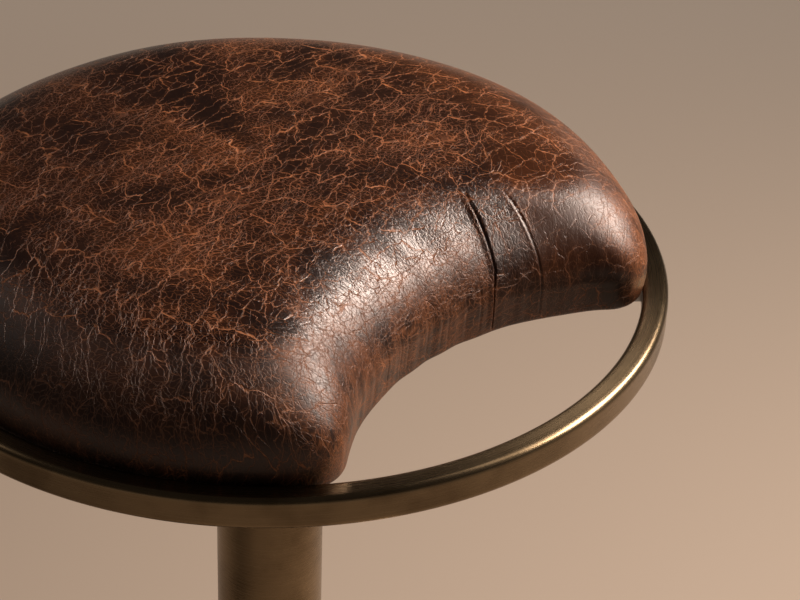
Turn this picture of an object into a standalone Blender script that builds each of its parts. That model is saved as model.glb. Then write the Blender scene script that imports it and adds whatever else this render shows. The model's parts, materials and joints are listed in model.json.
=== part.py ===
"""Swivel bar stool: a crescent leather seat in a flat-bar ring, turning on a pedestal with a footrest."""

import math

import bmesh
import bpy

# Driving dimensions, in metres. The seat's notch faces -Y and the floor is at z = 0.
CLEARANCE = 0.0003  # between pieces that touch, press together or screw together

RING_TOP_HEIGHT = 0.705
RING_RADIUS = 0.200
BAR_WIDTH = 0.0128
BAR_HEIGHT = 0.0162
BAR_EDGE_RADIUS = 0.0022

PAD_LAP = 0.0003  # how far the pad's foot laps over the ring
PAD_BULGE = 0.0012
PAD_BULGE_HEIGHT = 0.012
PAD_SHOULDER_WIDTH = 0.061
PAD_SHOULDER_HEIGHT = 0.048
PAD_CROWN = 0.007
PAD_CROWN_POWER = 1.5  # how the crown fades down the pad's side
PAD_CROWN_CENTRE = 0.020  # towards +Y from the column's axis
NOTCH_RADIUS = 0.152
NOTCH_CENTRE = 0.265  # from the column's axis, towards -Y
NOTCH_CORNER_RADIUS = 0.020
LEATHER_THICKNESS = 0.0015
LEATHER_TURN_UNDER = 0.020
RIM_OVERHANG = 0.0115  # of the pad past the board
SEAT_DROP = 0.006  # the leather's underside below the ring's top
BOARD_THICKNESS = 0.012
BOARD_EASE = 0.0005  # of the board's edge inside the leather, on top of the clearance
DUST_COVER_THICKNESS = 0.001
DUST_COVER_MARGIN = 0.004

SPIDER_THICKNESS = 0.006
SPIDER_HUB_RADIUS = 0.055
SPIDER_ARM_WIDTH = 0.030
SPIDER_ARMS = 4
SEAT_SCREW_CIRCLE = 0.105
SEAT_SCREW_RADIUS = 0.003
SEAT_SCREW_HEAD_RADIUS = 0.006
SEAT_SCREW_HEAD_HEIGHT = 0.0035
SEAT_SCREW_HEAD_FLAT_RADIUS = 0.0042
SEAT_WASHER_RADIUS = 0.009
SEAT_WASHER_THICKNESS = 0.0015
TEE_NUT_BARREL_RADIUS = 0.0045
TEE_NUT_FLANGE_RADIUS = 0.009
TEE_NUT_FLANGE_THICKNESS = 0.0015
TEE_NUT_LENGTH = 0.009

SPINDLE_RADIUS = 0.0125
SPINDLE_FLANGE_RADIUS = 0.036
SPINDLE_FLANGE_THICKNESS = 0.008
SPINDLE_SPIGOT_RADIUS = 0.010
SPINDLE_THREAD_RADIUS = 0.010
SPINDLE_THREAD_LENGTH = 0.030
SPINDLE_WASHER_RADIUS = 0.019
SPINDLE_WASHER_THICKNESS = 0.0025
SPINDLE_NUT_FLATS = 0.030
SPINDLE_NUT_HEIGHT = 0.016
SPLIT_PIN_RADIUS = 0.0015
SPLIT_PIN_LENGTH = 0.027
SKIRT_WALL = 0.002
SKIRT_GAP = 0.0015
SKIRT_LENGTH = 0.034

RACE_THICKNESS = 0.003
RACE_MARGIN = 0.0025  # the races' edge inside the column's outside
RACE_BORE_GAP = 0.0015
BALL_RADIUS = 0.003
BALLS = 10
CAGE_THICKNESS = 0.002
CAGE_MARGIN = 0.0016  # of the cage beyond its ball pockets, inwards and outwards

BUSH_WALL = 0.0025
BUSH_LENGTH = 0.022
BUSH_FLANGE_WIDTH = 0.0035
BUSH_FLANGE_THICKNESS = 0.002
HOUSING_FLANGE_THICKNESS = 0.006
HOUSING_LENGTH = 0.080

COLUMN_RADIUS = 0.0285
COLUMN_WALL = 0.002
FOOT_PLUG_HEIGHT = 0.030

FOOTREST_HEIGHT = 0.300  # top of the footrest ring above the floor
FOOTREST_RADIUS = 0.168
FOOTREST_HUB_WALL = 0.011
FOOTREST_HUB_HEIGHT = 0.034
FOOTREST_HUB_EDGE = 0.003
FOOTREST_SPOKE_RADIUS = 0.0065
FOOTREST_SPOKE_SEAT = 0.006
FOOTREST_SPOKES = 3
GRUB_SCREW_RADIUS = 0.004
GRUB_SCREW_LENGTH = 0.009
GRUB_SOCKET_RADIUS = 0.002
GRUB_SOCKET_DEPTH = 0.004

BASE_RADIUS = 0.215
BASE_EDGE_HEIGHT = 0.010
BASE_RISE = 0.018
BASE_DOME_POWER = 2.5
BASE_RIM_CLEAR = 0.0012  # the cover's rim above the floor
COVER_WALL = 0.0015
COVER_EDGE = 0.002
WEIGHT_UNDERSIDE = 0.0025
WEIGHT_PLATE = 0.006  # thickness of the cast plate beyond its hub
WEIGHT_HUB_FOOT = 0.030  # how far the hub's cone runs out over the plate
WEIGHT_CHAMFER = 0.003
FLOOR_RING_HEIGHT = 0.004
FLOOR_RING_WIDTH = 0.012
FLOOR_RING_MARGIN = 0.012  # from the weight's edge
BASE_BOLT_RADIUS = 0.008
BASE_BOLT_HEAD_FLATS = 0.024
BASE_BOLT_HEAD_HEIGHT = 0.008
BASE_BOLT_GRIP = 0.024  # thread inside the foot plug
BASE_WASHER_RADIUS = 0.020
BASE_WASHER_THICKNESS = 0.003
COLLAR_WIDTH = 0.017
COLLAR_FOOT_HEIGHT = 0.004
COLLAR_HEIGHT = 0.018
COLLAR_LIP = 0.003

# Facets
RING_SEGMENTS = 48
BASE_SEGMENTS = 40
COLUMN_SEGMENTS = 32
BEARING_SEGMENTS = 24
FASTENER_SEGMENTS = 12
BALL_SEGMENTS = 8
CORNER_SEGMENTS = 2
SPIDER_ARC_STEPS = 4
HEXAGON_SIDES = 6
NOTCH_STEPS = 6
PAD_CORNER_STEPS = 4
RIM_STEPS = 14
COVER_SHOULDER_STEPS = 6
LINING_SHOULDER_STEPS = 4
DOME_STEPS = 4
PAD_TOP_INSETS = (0.014, 0.030)  # rings on the flat of the pad, inwards of the shoulder
PAD_CORNER_GROWTH = 0.2  # how fast the corner's radius grows towards the middle
COVER_FOOT_LIFT = 0.004  # where the notch wall starts, above its lower edge
DRILL_OVERRUN = 0.001  # of a drill past each face
SHARP_ANGLE = math.radians(30)

# Heights and radii that follow, from the seat down to the column and from the floor up
ring_inner = RING_RADIUS - BAR_WIDTH
facet_share = math.cos(math.pi / RING_SEGMENTS)  # a facet's middle lies this much nearer the axis
pad_radius = ring_inner + PAD_LAP
board_radius = pad_radius - RIM_OVERHANG
leather_underside = RING_TOP_HEIGHT - SEAT_DROP
board_underside = leather_underside + LEATHER_THICKNESS + CLEARANCE
board_top = board_underside + BOARD_THICKNESS
dust_cover_top = leather_underside - CLEARANCE
spider_top = dust_cover_top - DUST_COVER_THICKNESS - CLEARANCE
spider_underside = spider_top - SPIDER_THICKNESS
spindle_top = spider_underside - CLEARANCE
skirt_top = spindle_top - SPINDLE_FLANGE_THICKNESS - CLEARANCE
upper_race_top = skirt_top - SKIRT_WALL - CLEARANCE
ball_height = upper_race_top - RACE_THICKNESS - CLEARANCE - BALL_RADIUS
lower_race_top = ball_height - BALL_RADIUS - CLEARANCE
race_radius = COLUMN_RADIUS - RACE_MARGIN
race_bore = SPINDLE_RADIUS + CLEARANCE
ball_circle = (race_bore + race_radius) / 2
housing_top = lower_race_top - RACE_THICKNESS - CLEARANCE
housing_bottom = housing_top - HOUSING_LENGTH
column_top = housing_top - HOUSING_FLANGE_THICKNESS - CLEARANCE
column_bore = COLUMN_RADIUS - COLUMN_WALL
bush_bore = SPINDLE_RADIUS + CLEARANCE
bush_radius = bush_bore + BUSH_WALL
lower_bush_bottom = housing_bottom - CLEARANCE - BUSH_FLANGE_THICKNESS
spindle_washer_top = lower_bush_bottom - CLEARANCE
spindle_nut_top = spindle_washer_top - SPINDLE_WASHER_THICKNESS - CLEARANCE
spindle_bottom = spindle_washer_top - SPINDLE_THREAD_LENGTH
split_pin_height = spindle_nut_top - SPINDLE_NUT_HEIGHT - CLEARANCE - SPLIT_PIN_RADIUS

weight_radius = BASE_RADIUS - COVER_WALL - CLEARANCE
boss_radius = COLUMN_RADIUS + COLLAR_WIDTH
boss_fall = BASE_RISE * (boss_radius / BASE_RADIUS) ** BASE_DOME_POWER
weight_top = BASE_EDGE_HEIGHT + BASE_RISE - boss_fall - COVER_WALL - CLEARANCE
column_bottom = weight_top + CLEARANCE
floor_ring_outer = weight_radius - FLOOR_RING_MARGIN
floor_ring_inner = floor_ring_outer - FLOOR_RING_WIDTH
base_washer_underside = WEIGHT_UNDERSIDE + BASE_BOLT_HEAD_HEIGHT + 2 * CLEARANCE
bolt_recess_top = base_washer_underside + BASE_WASHER_THICKNESS + CLEARANCE
collar_foot = BASE_EDGE_HEIGHT + BASE_RISE + CLEARANCE
footrest_hub_radius = COLUMN_RADIUS + CLEARANCE + FOOTREST_HUB_WALL
footrest_middle = FOOTREST_HEIGHT - BAR_HEIGHT / 2


def finish(name, colour, roughness, metallic):
    """A Principled material with the colour, roughness and metallic value of one piece."""
    material = bpy.data.materials.new(name)
    material.use_nodes = True
    shader = material.node_tree.nodes["Principled BSDF"]
    shader.inputs["Base Color"].default_value = (*colour, 1.0)
    shader.inputs["Roughness"].default_value = roughness
    shader.inputs["Metallic"].default_value = metallic
    return material


def face_outwards(bm):
    """Turns the faces of one closed shape outwards."""
    bmesh.ops.recalc_face_normals(bm, faces=bm.faces)
    if bm.calc_volume(signed=True) < 0:
        bmesh.ops.reverse_faces(bm, faces=bm.faces)


def place(name, bm, look, parent, location=(0.0, 0.0, 0.0), turn=0.0):
    """Turns a bmesh into a named object with its own material, under the empty that carries it."""
    face_outwards(bm)
    mesh = bpy.data.meshes.new(name)
    bm.to_mesh(mesh)
    bm.free()
    mesh.shade_smooth()
    mesh.set_sharp_from_angle(angle=SHARP_ANGLE)
    mesh.materials.append(finish(name, *LOOKS[look]))
    piece = bpy.data.objects.new(name, mesh)
    bpy.context.scene.collection.objects.link(piece)
    piece.parent = parent
    piece.location = location
    piece.rotation_euler = (0.0, 0.0, turn)
    return piece


def repeat(piece, name, location, turn=0.0):
    """Another object that shares the mesh of a repeated piece."""
    other = bpy.data.objects.new(name, piece.data)
    bpy.context.scene.collection.objects.link(other)
    other.parent = piece.parent
    other.location = location
    other.rotation_euler = (0.0, 0.0, turn)
    return other


def cut(piece, bm):
    """Takes the cutter's shape, given in the piece's own frame, out of the piece."""
    mesh = bpy.data.meshes.new(piece.name + ".cutter")
    bm.to_mesh(mesh)
    bm.free()
    cutter = bpy.data.objects.new(piece.name + ".cutter", mesh)
    bpy.context.scene.collection.objects.link(cutter)
    cutter.parent = piece
    cutter.hide_render = True
    cutter.display_type = "WIRE"
    modifier = piece.modifiers.new("Cut", "BOOLEAN")
    modifier.object = cutter
    modifier.operation = "DIFFERENCE"
    modifier.solver = "EXACT"


def add_turned(bm, profile, segments):
    """Spins a profile of (radius, height) points round Z. A profile off the axis is a closed loop."""
    verts = [bm.verts.new((radius, 0.0, height)) for radius, height in profile]
    edges = [bm.edges.new(pair) for pair in zip(verts, verts[1:])]
    if min(radius for radius, _ in profile) > 0:
        edges.append(bm.edges.new((verts[-1], verts[0])))
    bmesh.ops.spin(
        bm,
        geom=verts + edges,
        cent=(0, 0, 0),
        axis=(0, 0, 1),
        angle=2 * math.pi,
        steps=segments,
        use_merge=True,
    )
    bmesh.ops.remove_doubles(bm, verts=bm.verts, dist=1e-6)


def turned(profile, segments):
    bm = bmesh.new()
    add_turned(bm, profile, segments)
    return bm


def tube_profile(inner, outer, bottom, top):
    return [(inner, bottom), (outer, bottom), (outer, top), (inner, top)]


def arc(centre, radius, start, end, steps):
    """Points on a circle from one angle to another, both ends included."""
    angles = [start + (end - start) * i / steps for i in range(steps + 1)]
    return [(centre[0] + radius * math.cos(a), centre[1] + radius * math.sin(a)) for a in angles]


def bar_profile(inner, outer, bottom, top, edge):
    """Section of a flat bar with rounded edges."""
    quarter = math.pi / 2
    corners = [
        ((outer - edge, bottom + edge), -quarter),
        ((outer - edge, top - edge), 0.0),
        ((inner + edge, top - edge), quarter),
        ((inner + edge, bottom + edge), 2 * quarter),
    ]
    points = []
    for centre, start in corners:
        points += arc(centre, edge, start, start + quarter, CORNER_SEGMENTS)
    return points


def add_cylinder(bm, radius, start, end, segments):
    """A closed cylinder between two points on one line."""
    along = [end[i] - start[i] for i in range(3)]
    length = math.sqrt(sum(step * step for step in along))
    middle = [(start[i] + end[i]) / 2 for i in range(3)]
    heading = math.atan2(along[1], along[0])
    tilt = math.acos(along[2] / length)
    made = bmesh.ops.create_cone(
        bm,
        cap_ends=True,
        segments=segments,
        radius1=radius,
        radius2=radius,
        depth=length,
    )["verts"]
    turn_y = [[math.cos(tilt), 0, math.sin(tilt)], [0, 1, 0], [-math.sin(tilt), 0, math.cos(tilt)]]
    cos_z, sin_z = math.cos(heading), math.sin(heading)
    for vert in made:
        x, y, z = [sum(row[i] * vert.co[i] for i in range(3)) for row in turn_y]
        vert.co = (
            middle[0] + cos_z * x - sin_z * y,
            middle[1] + sin_z * x + cos_z * y,
            middle[2] + z,
        )


def add_prism(bm, outline, bottom, top):
    """An outline of (x, y) points raised between two heights."""
    lower = [bm.verts.new((x, y, bottom)) for x, y in outline]
    upper = [bm.verts.new((x, y, top)) for x, y in outline]
    bm.faces.new(lower[::-1])
    bm.faces.new(upper)
    join_rings(bm, lower, upper)


def prism(outline, bottom, top):
    bm = bmesh.new()
    add_prism(bm, outline, bottom, top)
    return bm


def join_rings(bm, lower, upper):
    """A band of faces between two closed rings of as many points."""
    count = len(lower)
    for i in range(count):
        j = (i + 1) % count
        bm.faces.new((lower[i], lower[j], upper[j], upper[i]))


def polar(radius, angle):
    return radius * math.cos(angle), radius * math.sin(angle)


def around(count, start=0.0):
    return [start + 2 * math.pi * i / count for i in range(count)]


def hexagon(flats):
    return [polar(flats / math.sqrt(3), angle) for angle in around(HEXAGON_SIDES)]


def crescent(outer, notch, corner):
    """Outline of a disc with a round bite out of its -Y side and rounded corners, anticlockwise.

    Each corner is a circle that touches the rim from inside and the bite from outside. The points run from
    the bite's middle round the +X side, and the other half is their mirror image.
    """
    reach = outer - corner
    corner_y = ((notch + corner) ** 2 - reach**2 - NOTCH_CENTRE**2) / (2 * NOTCH_CENTRE)
    corner_x = math.sqrt(reach**2 - corner_y**2)
    rim_angle = math.atan2(corner_y, corner_x)
    bite_angle = math.atan2(corner_y + NOTCH_CENTRE, corner_x)
    half = arc((0.0, -NOTCH_CENTRE), notch, math.pi / 2, bite_angle, NOTCH_STEPS)[:-1]
    half += arc((corner_x, corner_y), corner, bite_angle - math.pi, rim_angle, PAD_CORNER_STEPS)[:-1]
    half += arc((0.0, 0.0), outer, rim_angle, math.pi / 2, RIM_STEPS)
    return half + [(-x, y) for x, y in half[-2:0:-1]]


def over_ring():
    """How far each point of a crescent belongs to the rim: 0 along the bite, 1 along the rim."""
    half = [0.0] * NOTCH_STEPS
    half += [i / PAD_CORNER_STEPS for i in range(PAD_CORNER_STEPS)]
    half += [1.0] * (RIM_STEPS + 1)
    return half + half[-2:0:-1]


def pad_section(skin, steps):
    """The pad's side as (inset, height above the ring), from its widest place to its flat, skin deep.

    The side is a quarter of an ellipse from the bulge to the shoulder's inner edge.
    """
    across = PAD_SHOULDER_WIDTH + PAD_BULGE - skin
    up = PAD_SHOULDER_HEIGHT - PAD_BULGE_HEIGHT - skin
    section = []
    for i in range(steps + 1):
        angle = math.pi / 2 * i / steps
        inset = PAD_SHOULDER_WIDTH - across * math.cos(angle)
        section.append((inset, PAD_BULGE_HEIGHT + up * math.sin(angle)))
    top = PAD_SHOULDER_HEIGHT - skin
    return section + [(PAD_SHOULDER_WIDTH + inset, top) for inset in PAD_TOP_INSETS]


def pad_ring(bm, inset, height):
    """One ring of the pad: the crescent drawn in by an inset, raised to the crown."""
    corner = NOTCH_CORNER_RADIUS + PAD_CORNER_GROWTH * max(inset, 0.0)
    ring = []
    for x, y in crescent(pad_radius - inset, NOTCH_RADIUS + inset, corner):
        nearness = 1 - (math.hypot(x, y - PAD_CROWN_CENTRE) / pad_radius) ** 2
        rise = PAD_CROWN * max(nearness, 0.0) * (height / PAD_SHOULDER_HEIGHT) ** PAD_CROWN_POWER
        ring.append(bm.verts.new((x, y, height + rise)))
    return ring


def level_ring(bm, outer, notch, corner, notch_height, rim_height):
    """A crescent ring whose bite and rim lie at two heights."""
    points = zip(crescent(outer, notch, corner), over_ring())
    return [bm.verts.new((x, y, notch_height + (rim_height - notch_height) * w)) for (x, y), w in points]


def pad_pole(bm, ring):
    """Closes a pad's innermost ring with a fan."""
    count = len(ring)
    middle = [sum(vert.co[i] for vert in ring) / count for i in range(3)]
    top = max(vert.co[2] for vert in ring)
    pole = bm.verts.new((middle[0], middle[1], top))
    for i in range(count):
        bm.faces.new((ring[i], ring[(i + 1) % count], pole))


def join_all(bm, rings):
    for lower, upper in zip(rings, rings[1:]):
        join_rings(bm, lower, upper)


def leather_cover():
    """The leather, one hide: under the board, round its edge, over the ring, up its side and over it."""
    bm = bmesh.new()
    under = -SEAT_DROP
    skin = LEATHER_THICKNESS
    corner = NOTCH_CORNER_RADIUS
    hem_outer = board_radius - LEATHER_TURN_UNDER
    hem_notch = NOTCH_RADIUS + LEATHER_TURN_UNDER
    step = under + COVER_FOOT_LIFT / 2
    foot = under + COVER_FOOT_LIFT
    outside = [
        level_ring(bm, hem_outer, hem_notch, corner, under, under),
        level_ring(bm, board_radius, NOTCH_RADIUS, corner, under, under),
        level_ring(bm, board_radius, NOTCH_RADIUS, corner, step, CLEARANCE),
        level_ring(bm, pad_radius, NOTCH_RADIUS, corner, foot, CLEARANCE),
    ]
    outside += [pad_ring(bm, *place_on) for place_on in pad_section(0.0, COVER_SHOULDER_STEPS)]
    inner_board = board_radius - skin
    inner_notch = NOTCH_RADIUS + skin
    inner_corner = corner - skin
    inside = [
        level_ring(bm, hem_outer, hem_notch, corner, under + skin, under + skin),
        level_ring(bm, inner_board, inner_notch, inner_corner, under + skin, under + skin),
        level_ring(bm, inner_board, inner_notch, inner_corner, step + skin, CLEARANCE + skin),
        level_ring(bm, pad_radius - skin, inner_notch, inner_corner, foot + skin, CLEARANCE + skin),
    ]
    inside += [pad_ring(bm, *place_on) for place_on in pad_section(skin, LINING_SHOULDER_STEPS)]
    join_all(bm, outside)
    join_all(bm, inside)
    join_rings(bm, inside[0], outside[0])
    pad_pole(bm, outside[-1])
    pad_pole(bm, inside[-1])
    return bm


def foam_pad():
    """The foam that fills the leather, flat where it lies on the board."""
    bm = bmesh.new()
    skin = LEATHER_THICKNESS + CLEARANCE
    bottom = board_top + CLEARANCE - RING_TOP_HEIGHT
    corner = NOTCH_CORNER_RADIUS - skin
    foot = level_ring(bm, pad_radius - skin, NOTCH_RADIUS + skin, corner, bottom, bottom)
    rings = [foot] + [pad_ring(bm, *place_on) for place_on in pad_section(skin, LINING_SHOULDER_STEPS)]
    join_all(bm, rings)
    pad_pole(bm, rings[-1])
    bm.faces.new(foot[::-1])
    return bm


def arm_angles():
    return around(SPIDER_ARMS, math.pi / SPIDER_ARMS)


def seat_screw_places():
    return [polar(SEAT_SCREW_CIRCLE, angle) for angle in arm_angles()]


def drill(piece, places, radius, bottom, top, segments=FASTENER_SEGMENTS):
    """Upright holes through a piece."""
    bm = bmesh.new()
    for x, y in places:
        add_cylinder(bm, radius, (x, y, bottom), (x, y, top), segments)
    cut(piece, bm)


def spider_outline():
    """A round hub with an arm to each weld on the ring, whose ends follow the ring's inside."""
    half = SPIDER_ARM_WIDTH / 2
    end = ring_inner * facet_share - CLEARANCE
    root_angle = math.asin(half / SPIDER_HUB_RADIUS)
    end_angle = math.asin(half / end)
    gap_angle = 2 * math.pi / SPIDER_ARMS
    outline = []
    for angle in arm_angles():
        next_root = angle + gap_angle - root_angle
        outline += arc((0.0, 0.0), end, angle - end_angle, angle + end_angle, SPIDER_ARC_STEPS)
        outline += arc((0.0, 0.0), SPIDER_HUB_RADIUS, angle + root_angle, next_root, SPIDER_ARC_STEPS)
    return outline


def build_seat(parent):
    """The pieces that turn with the sitter, hung on an empty at the ring's top."""
    top = RING_TOP_HEIGHT
    ring = bar_profile(ring_inner, RING_RADIUS, -BAR_HEIGHT, 0.0, BAR_EDGE_RADIUS)
    place("seat_ring", turned(ring, RING_SEGMENTS), "brass", parent)
    place("leather_cover", leather_cover(), "leather", parent)
    place("foam_pad", foam_pad(), "foam", parent)

    skin = LEATHER_THICKNESS + CLEARANCE + BOARD_EASE
    board = crescent(board_radius - skin, NOTCH_RADIUS + skin, NOTCH_CORNER_RADIUS - skin)
    low, high = board_underside - top, board_top - top
    seat_board = place("seat_board", prism(board, low, high), "plywood", parent)
    flange_seat = high - TEE_NUT_FLANGE_THICKNESS - 2 * CLEARANCE
    over = DRILL_OVERRUN
    drill(seat_board, seat_screw_places(), TEE_NUT_BARREL_RADIUS + CLEARANCE, low - over, high + over)
    drill(seat_board, seat_screw_places(), TEE_NUT_FLANGE_RADIUS + 2 * CLEARANCE, flange_seat, high + over)

    margin = DUST_COVER_MARGIN
    cloth = crescent(board_radius - margin, NOTCH_RADIUS + margin, NOTCH_CORNER_RADIUS - margin)
    low, high = dust_cover_top - DUST_COVER_THICKNESS - top, dust_cover_top - top
    dust_cover = place("dust_cover", prism(cloth, low, high), "cloth", parent)
    drill(dust_cover, seat_screw_places(), SEAT_SCREW_RADIUS + CLEARANCE, low - over, high + over)

    low, high = spider_underside - top, spider_top - top
    spider = place("seat_spider", prism(spider_outline(), low, high), "steel", parent)
    drill(spider, seat_screw_places(), SEAT_SCREW_RADIUS + CLEARANCE, low - over, high + over)
    spigot = SPINDLE_SPIGOT_RADIUS + CLEARANCE
    drill(spider, [(0.0, 0.0)], spigot, low - over, high + over, BEARING_SEGMENTS)

    build_seat_fasteners(parent, flange_seat)
    build_spindle(parent)


def build_seat_fasteners(parent, flange_seat):
    """A screw, a washer and a tee nut at each arm, which clamp the board to the spider."""
    bore = SEAT_SCREW_RADIUS + CLEARANCE
    washer_top = spider_underside - CLEARANCE - RING_TOP_HEIGHT
    head_top = washer_top - SEAT_WASHER_THICKNESS - CLEARANCE
    head_bottom = head_top - SEAT_SCREW_HEAD_HEIGHT
    nut_flange_bottom = flange_seat + CLEARANCE
    nut_top = nut_flange_bottom + TEE_NUT_FLANGE_THICKNESS
    washer = tube_profile(bore, SEAT_WASHER_RADIUS, washer_top - SEAT_WASHER_THICKNESS, washer_top)
    screw = [
        (0.0, nut_flange_bottom),
        (SEAT_SCREW_RADIUS, nut_flange_bottom),
        (SEAT_SCREW_RADIUS, head_top),
        (SEAT_SCREW_HEAD_RADIUS, head_top),
        (SEAT_SCREW_HEAD_RADIUS, head_top - SEAT_SCREW_HEAD_HEIGHT / 2),
        (SEAT_SCREW_HEAD_FLAT_RADIUS, head_bottom),
        (0.0, head_bottom),
    ]
    tee_nut = [
        (bore, nut_top - TEE_NUT_LENGTH),
        (TEE_NUT_BARREL_RADIUS, nut_top - TEE_NUT_LENGTH),
        (TEE_NUT_BARREL_RADIUS, nut_flange_bottom),
        (TEE_NUT_FLANGE_RADIUS, nut_flange_bottom),
        (TEE_NUT_FLANGE_RADIUS, nut_top),
        (bore, nut_top),
    ]
    for name, profile in (("seat_screw", screw), ("seat_washer", washer), ("tee_nut", tee_nut)):
        places = [(x, y, 0.0) for x, y in seat_screw_places()]
        first = place(name + "_1", turned(profile, FASTENER_SEGMENTS), "steel", parent, places[0])
        for number, location in enumerate(places[1:], 2):
            repeat(first, f"{name}_{number}", location)


def build_spindle(parent):
    """The spindle under the spider, its skirt, upper race and the nut that keeps it in the housing."""
    top = RING_TOP_HEIGHT
    shoulder = spindle_washer_top + CLEARANCE - top
    flange_bottom = spindle_top - SPINDLE_FLANGE_THICKNESS - top
    spigot_top = spider_top - CLEARANCE - top
    spindle = [
        (0.0, spigot_top),
        (SPINDLE_SPIGOT_RADIUS, spigot_top),
        (SPINDLE_SPIGOT_RADIUS, spindle_top - top),
        (SPINDLE_FLANGE_RADIUS, spindle_top - top),
        (SPINDLE_FLANGE_RADIUS, flange_bottom),
        (SPINDLE_RADIUS, flange_bottom),
        (SPINDLE_RADIUS, shoulder),
        (SPINDLE_THREAD_RADIUS, shoulder),
        (SPINDLE_THREAD_RADIUS, spindle_bottom - top),
        (0.0, spindle_bottom - top),
    ]
    piece = place("spindle", turned(spindle, BEARING_SEGMENTS), "steel", parent)
    bm = bmesh.new()
    pin_height = split_pin_height - top
    reach = SPLIT_PIN_LENGTH
    add_cylinder(
        bm,
        SPLIT_PIN_RADIUS + CLEARANCE,
        (-reach, 0.0, pin_height),
        (reach, 0.0, pin_height),
        FASTENER_SEGMENTS,
    )
    cut(piece, bm)

    bm = bmesh.new()
    half = SPLIT_PIN_LENGTH / 2
    add_cylinder(bm, SPLIT_PIN_RADIUS, (-half, 0.0, pin_height), (half, 0.0, pin_height), FASTENER_SEGMENTS)
    place("spindle_pin", bm, "steel", parent)

    bore = SPINDLE_THREAD_RADIUS + CLEARANCE
    high = spindle_washer_top - top
    low = high - SPINDLE_WASHER_THICKNESS
    washer = tube_profile(bore, SPINDLE_WASHER_RADIUS, low, high)
    place("spindle_washer", turned(washer, BEARING_SEGMENTS), "steel", parent)
    high = spindle_nut_top - top
    low = high - SPINDLE_NUT_HEIGHT
    nut = place("spindle_nut", prism(hexagon(SPINDLE_NUT_FLATS), low, high), "steel", parent)
    drill(nut, [(0.0, 0.0)], bore, low - DRILL_OVERRUN, high + DRILL_OVERRUN, BEARING_SEGMENTS)

    inner = COLUMN_RADIUS + SKIRT_GAP
    outer = inner + SKIRT_WALL
    high = skirt_top - top
    low = high - SKIRT_LENGTH
    skirt = [
        (race_bore, high),
        (race_bore, high - SKIRT_WALL),
        (inner, high - SKIRT_WALL),
        (inner, low),
        (outer, low),
        (outer, high - SKIRT_WALL),
        (outer - SKIRT_WALL / 2, high),
    ]
    place("swivel_skirt", turned(skirt, COLUMN_SEGMENTS), "brass", parent)
    high = upper_race_top - top
    race = tube_profile(race_bore, race_radius, high - RACE_THICKNESS, high)
    place("upper_race", turned(race, COLUMN_SEGMENTS), "steel", parent)


def build_ball_cage(parent):
    """The thrust bearing's cage and balls, which roll round at half the seat's speed."""
    pocket = BALL_RADIUS + CLEARANCE
    inner = ball_circle - pocket - CAGE_MARGIN
    outer = ball_circle + pocket + CAGE_MARGIN
    half = CAGE_THICKNESS / 2
    ring = tube_profile(inner, outer, -half, half)
    cage = place("ball_cage", turned(ring, COLUMN_SEGMENTS), "bronze", parent)
    places = [polar(ball_circle, angle) for angle in around(BALLS)]
    drill(cage, places, pocket, -BALL_RADIUS, BALL_RADIUS)
    bm = bmesh.new()
    rows = BALL_SEGMENTS // 2
    bmesh.ops.create_uvsphere(bm, u_segments=BALL_SEGMENTS, v_segments=rows, radius=BALL_RADIUS)
    first = place("bearing_ball_1", bm, "steel", parent, (*places[0], 0.0))
    for number, spot in enumerate(places[1:], 2):
        repeat(first, f"bearing_ball_{number}", (*spot, 0.0))


def build_bearing(parent):
    """The fixed half of the swivel, pressed into the column's top."""
    race = tube_profile(
        SPINDLE_RADIUS + RACE_BORE_GAP,
        race_radius,
        lower_race_top - RACE_THICKNESS,
        lower_race_top,
    )
    place("lower_race", turned(race, COLUMN_SEGMENTS), "steel", parent)
    seat_radius = bush_radius + BUSH_FLANGE_WIDTH + CLEARANCE
    seat_depth = BUSH_FLANGE_THICKNESS + 2 * CLEARANCE
    bore = bush_radius + CLEARANCE
    body = column_bore - CLEARANCE
    flange_bottom = housing_top - HOUSING_FLANGE_THICKNESS
    housing = [
        (bore, housing_bottom),
        (body, housing_bottom),
        (body, flange_bottom),
        (COLUMN_RADIUS, flange_bottom),
        (COLUMN_RADIUS, housing_top),
        (seat_radius, housing_top),
        (seat_radius, housing_top - seat_depth),
        (bore, housing_top - seat_depth),
    ]
    place("bearing_housing", turned(housing, COLUMN_SEGMENTS), "steel", parent)

    flange_radius = bush_radius + BUSH_FLANGE_WIDTH
    thickness = BUSH_FLANGE_THICKNESS
    bush = [
        (bush_bore, -BUSH_LENGTH),
        (bush_radius, -BUSH_LENGTH),
        (bush_radius, -thickness),
        (flange_radius, -thickness),
        (flange_radius, 0.0),
        (bush_bore, 0.0),
    ]
    upper = housing_top - CLEARANCE
    place("upper_bush", turned(bush, BEARING_SEGMENTS), "bronze", parent, (0.0, 0.0, upper))
    bush = [(radius, -height) for radius, height in bush]
    place("lower_bush", turned(bush, BEARING_SEGMENTS), "bronze", parent, (0.0, 0.0, lower_bush_bottom))


def build_column(parent):
    """The column tube and the plug in its foot that takes the base bolt."""
    tube = tube_profile(column_bore, COLUMN_RADIUS, column_bottom, column_top)
    place("column_tube", turned(tube, COLUMN_SEGMENTS), "brass", parent)
    plug = tube_profile(
        BASE_BOLT_RADIUS + CLEARANCE,
        column_bore - CLEARANCE,
        column_bottom,
        column_bottom + FOOT_PLUG_HEIGHT,
    )
    place("column_foot_plug", turned(plug, BEARING_SEGMENTS), "steel", parent)


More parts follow.
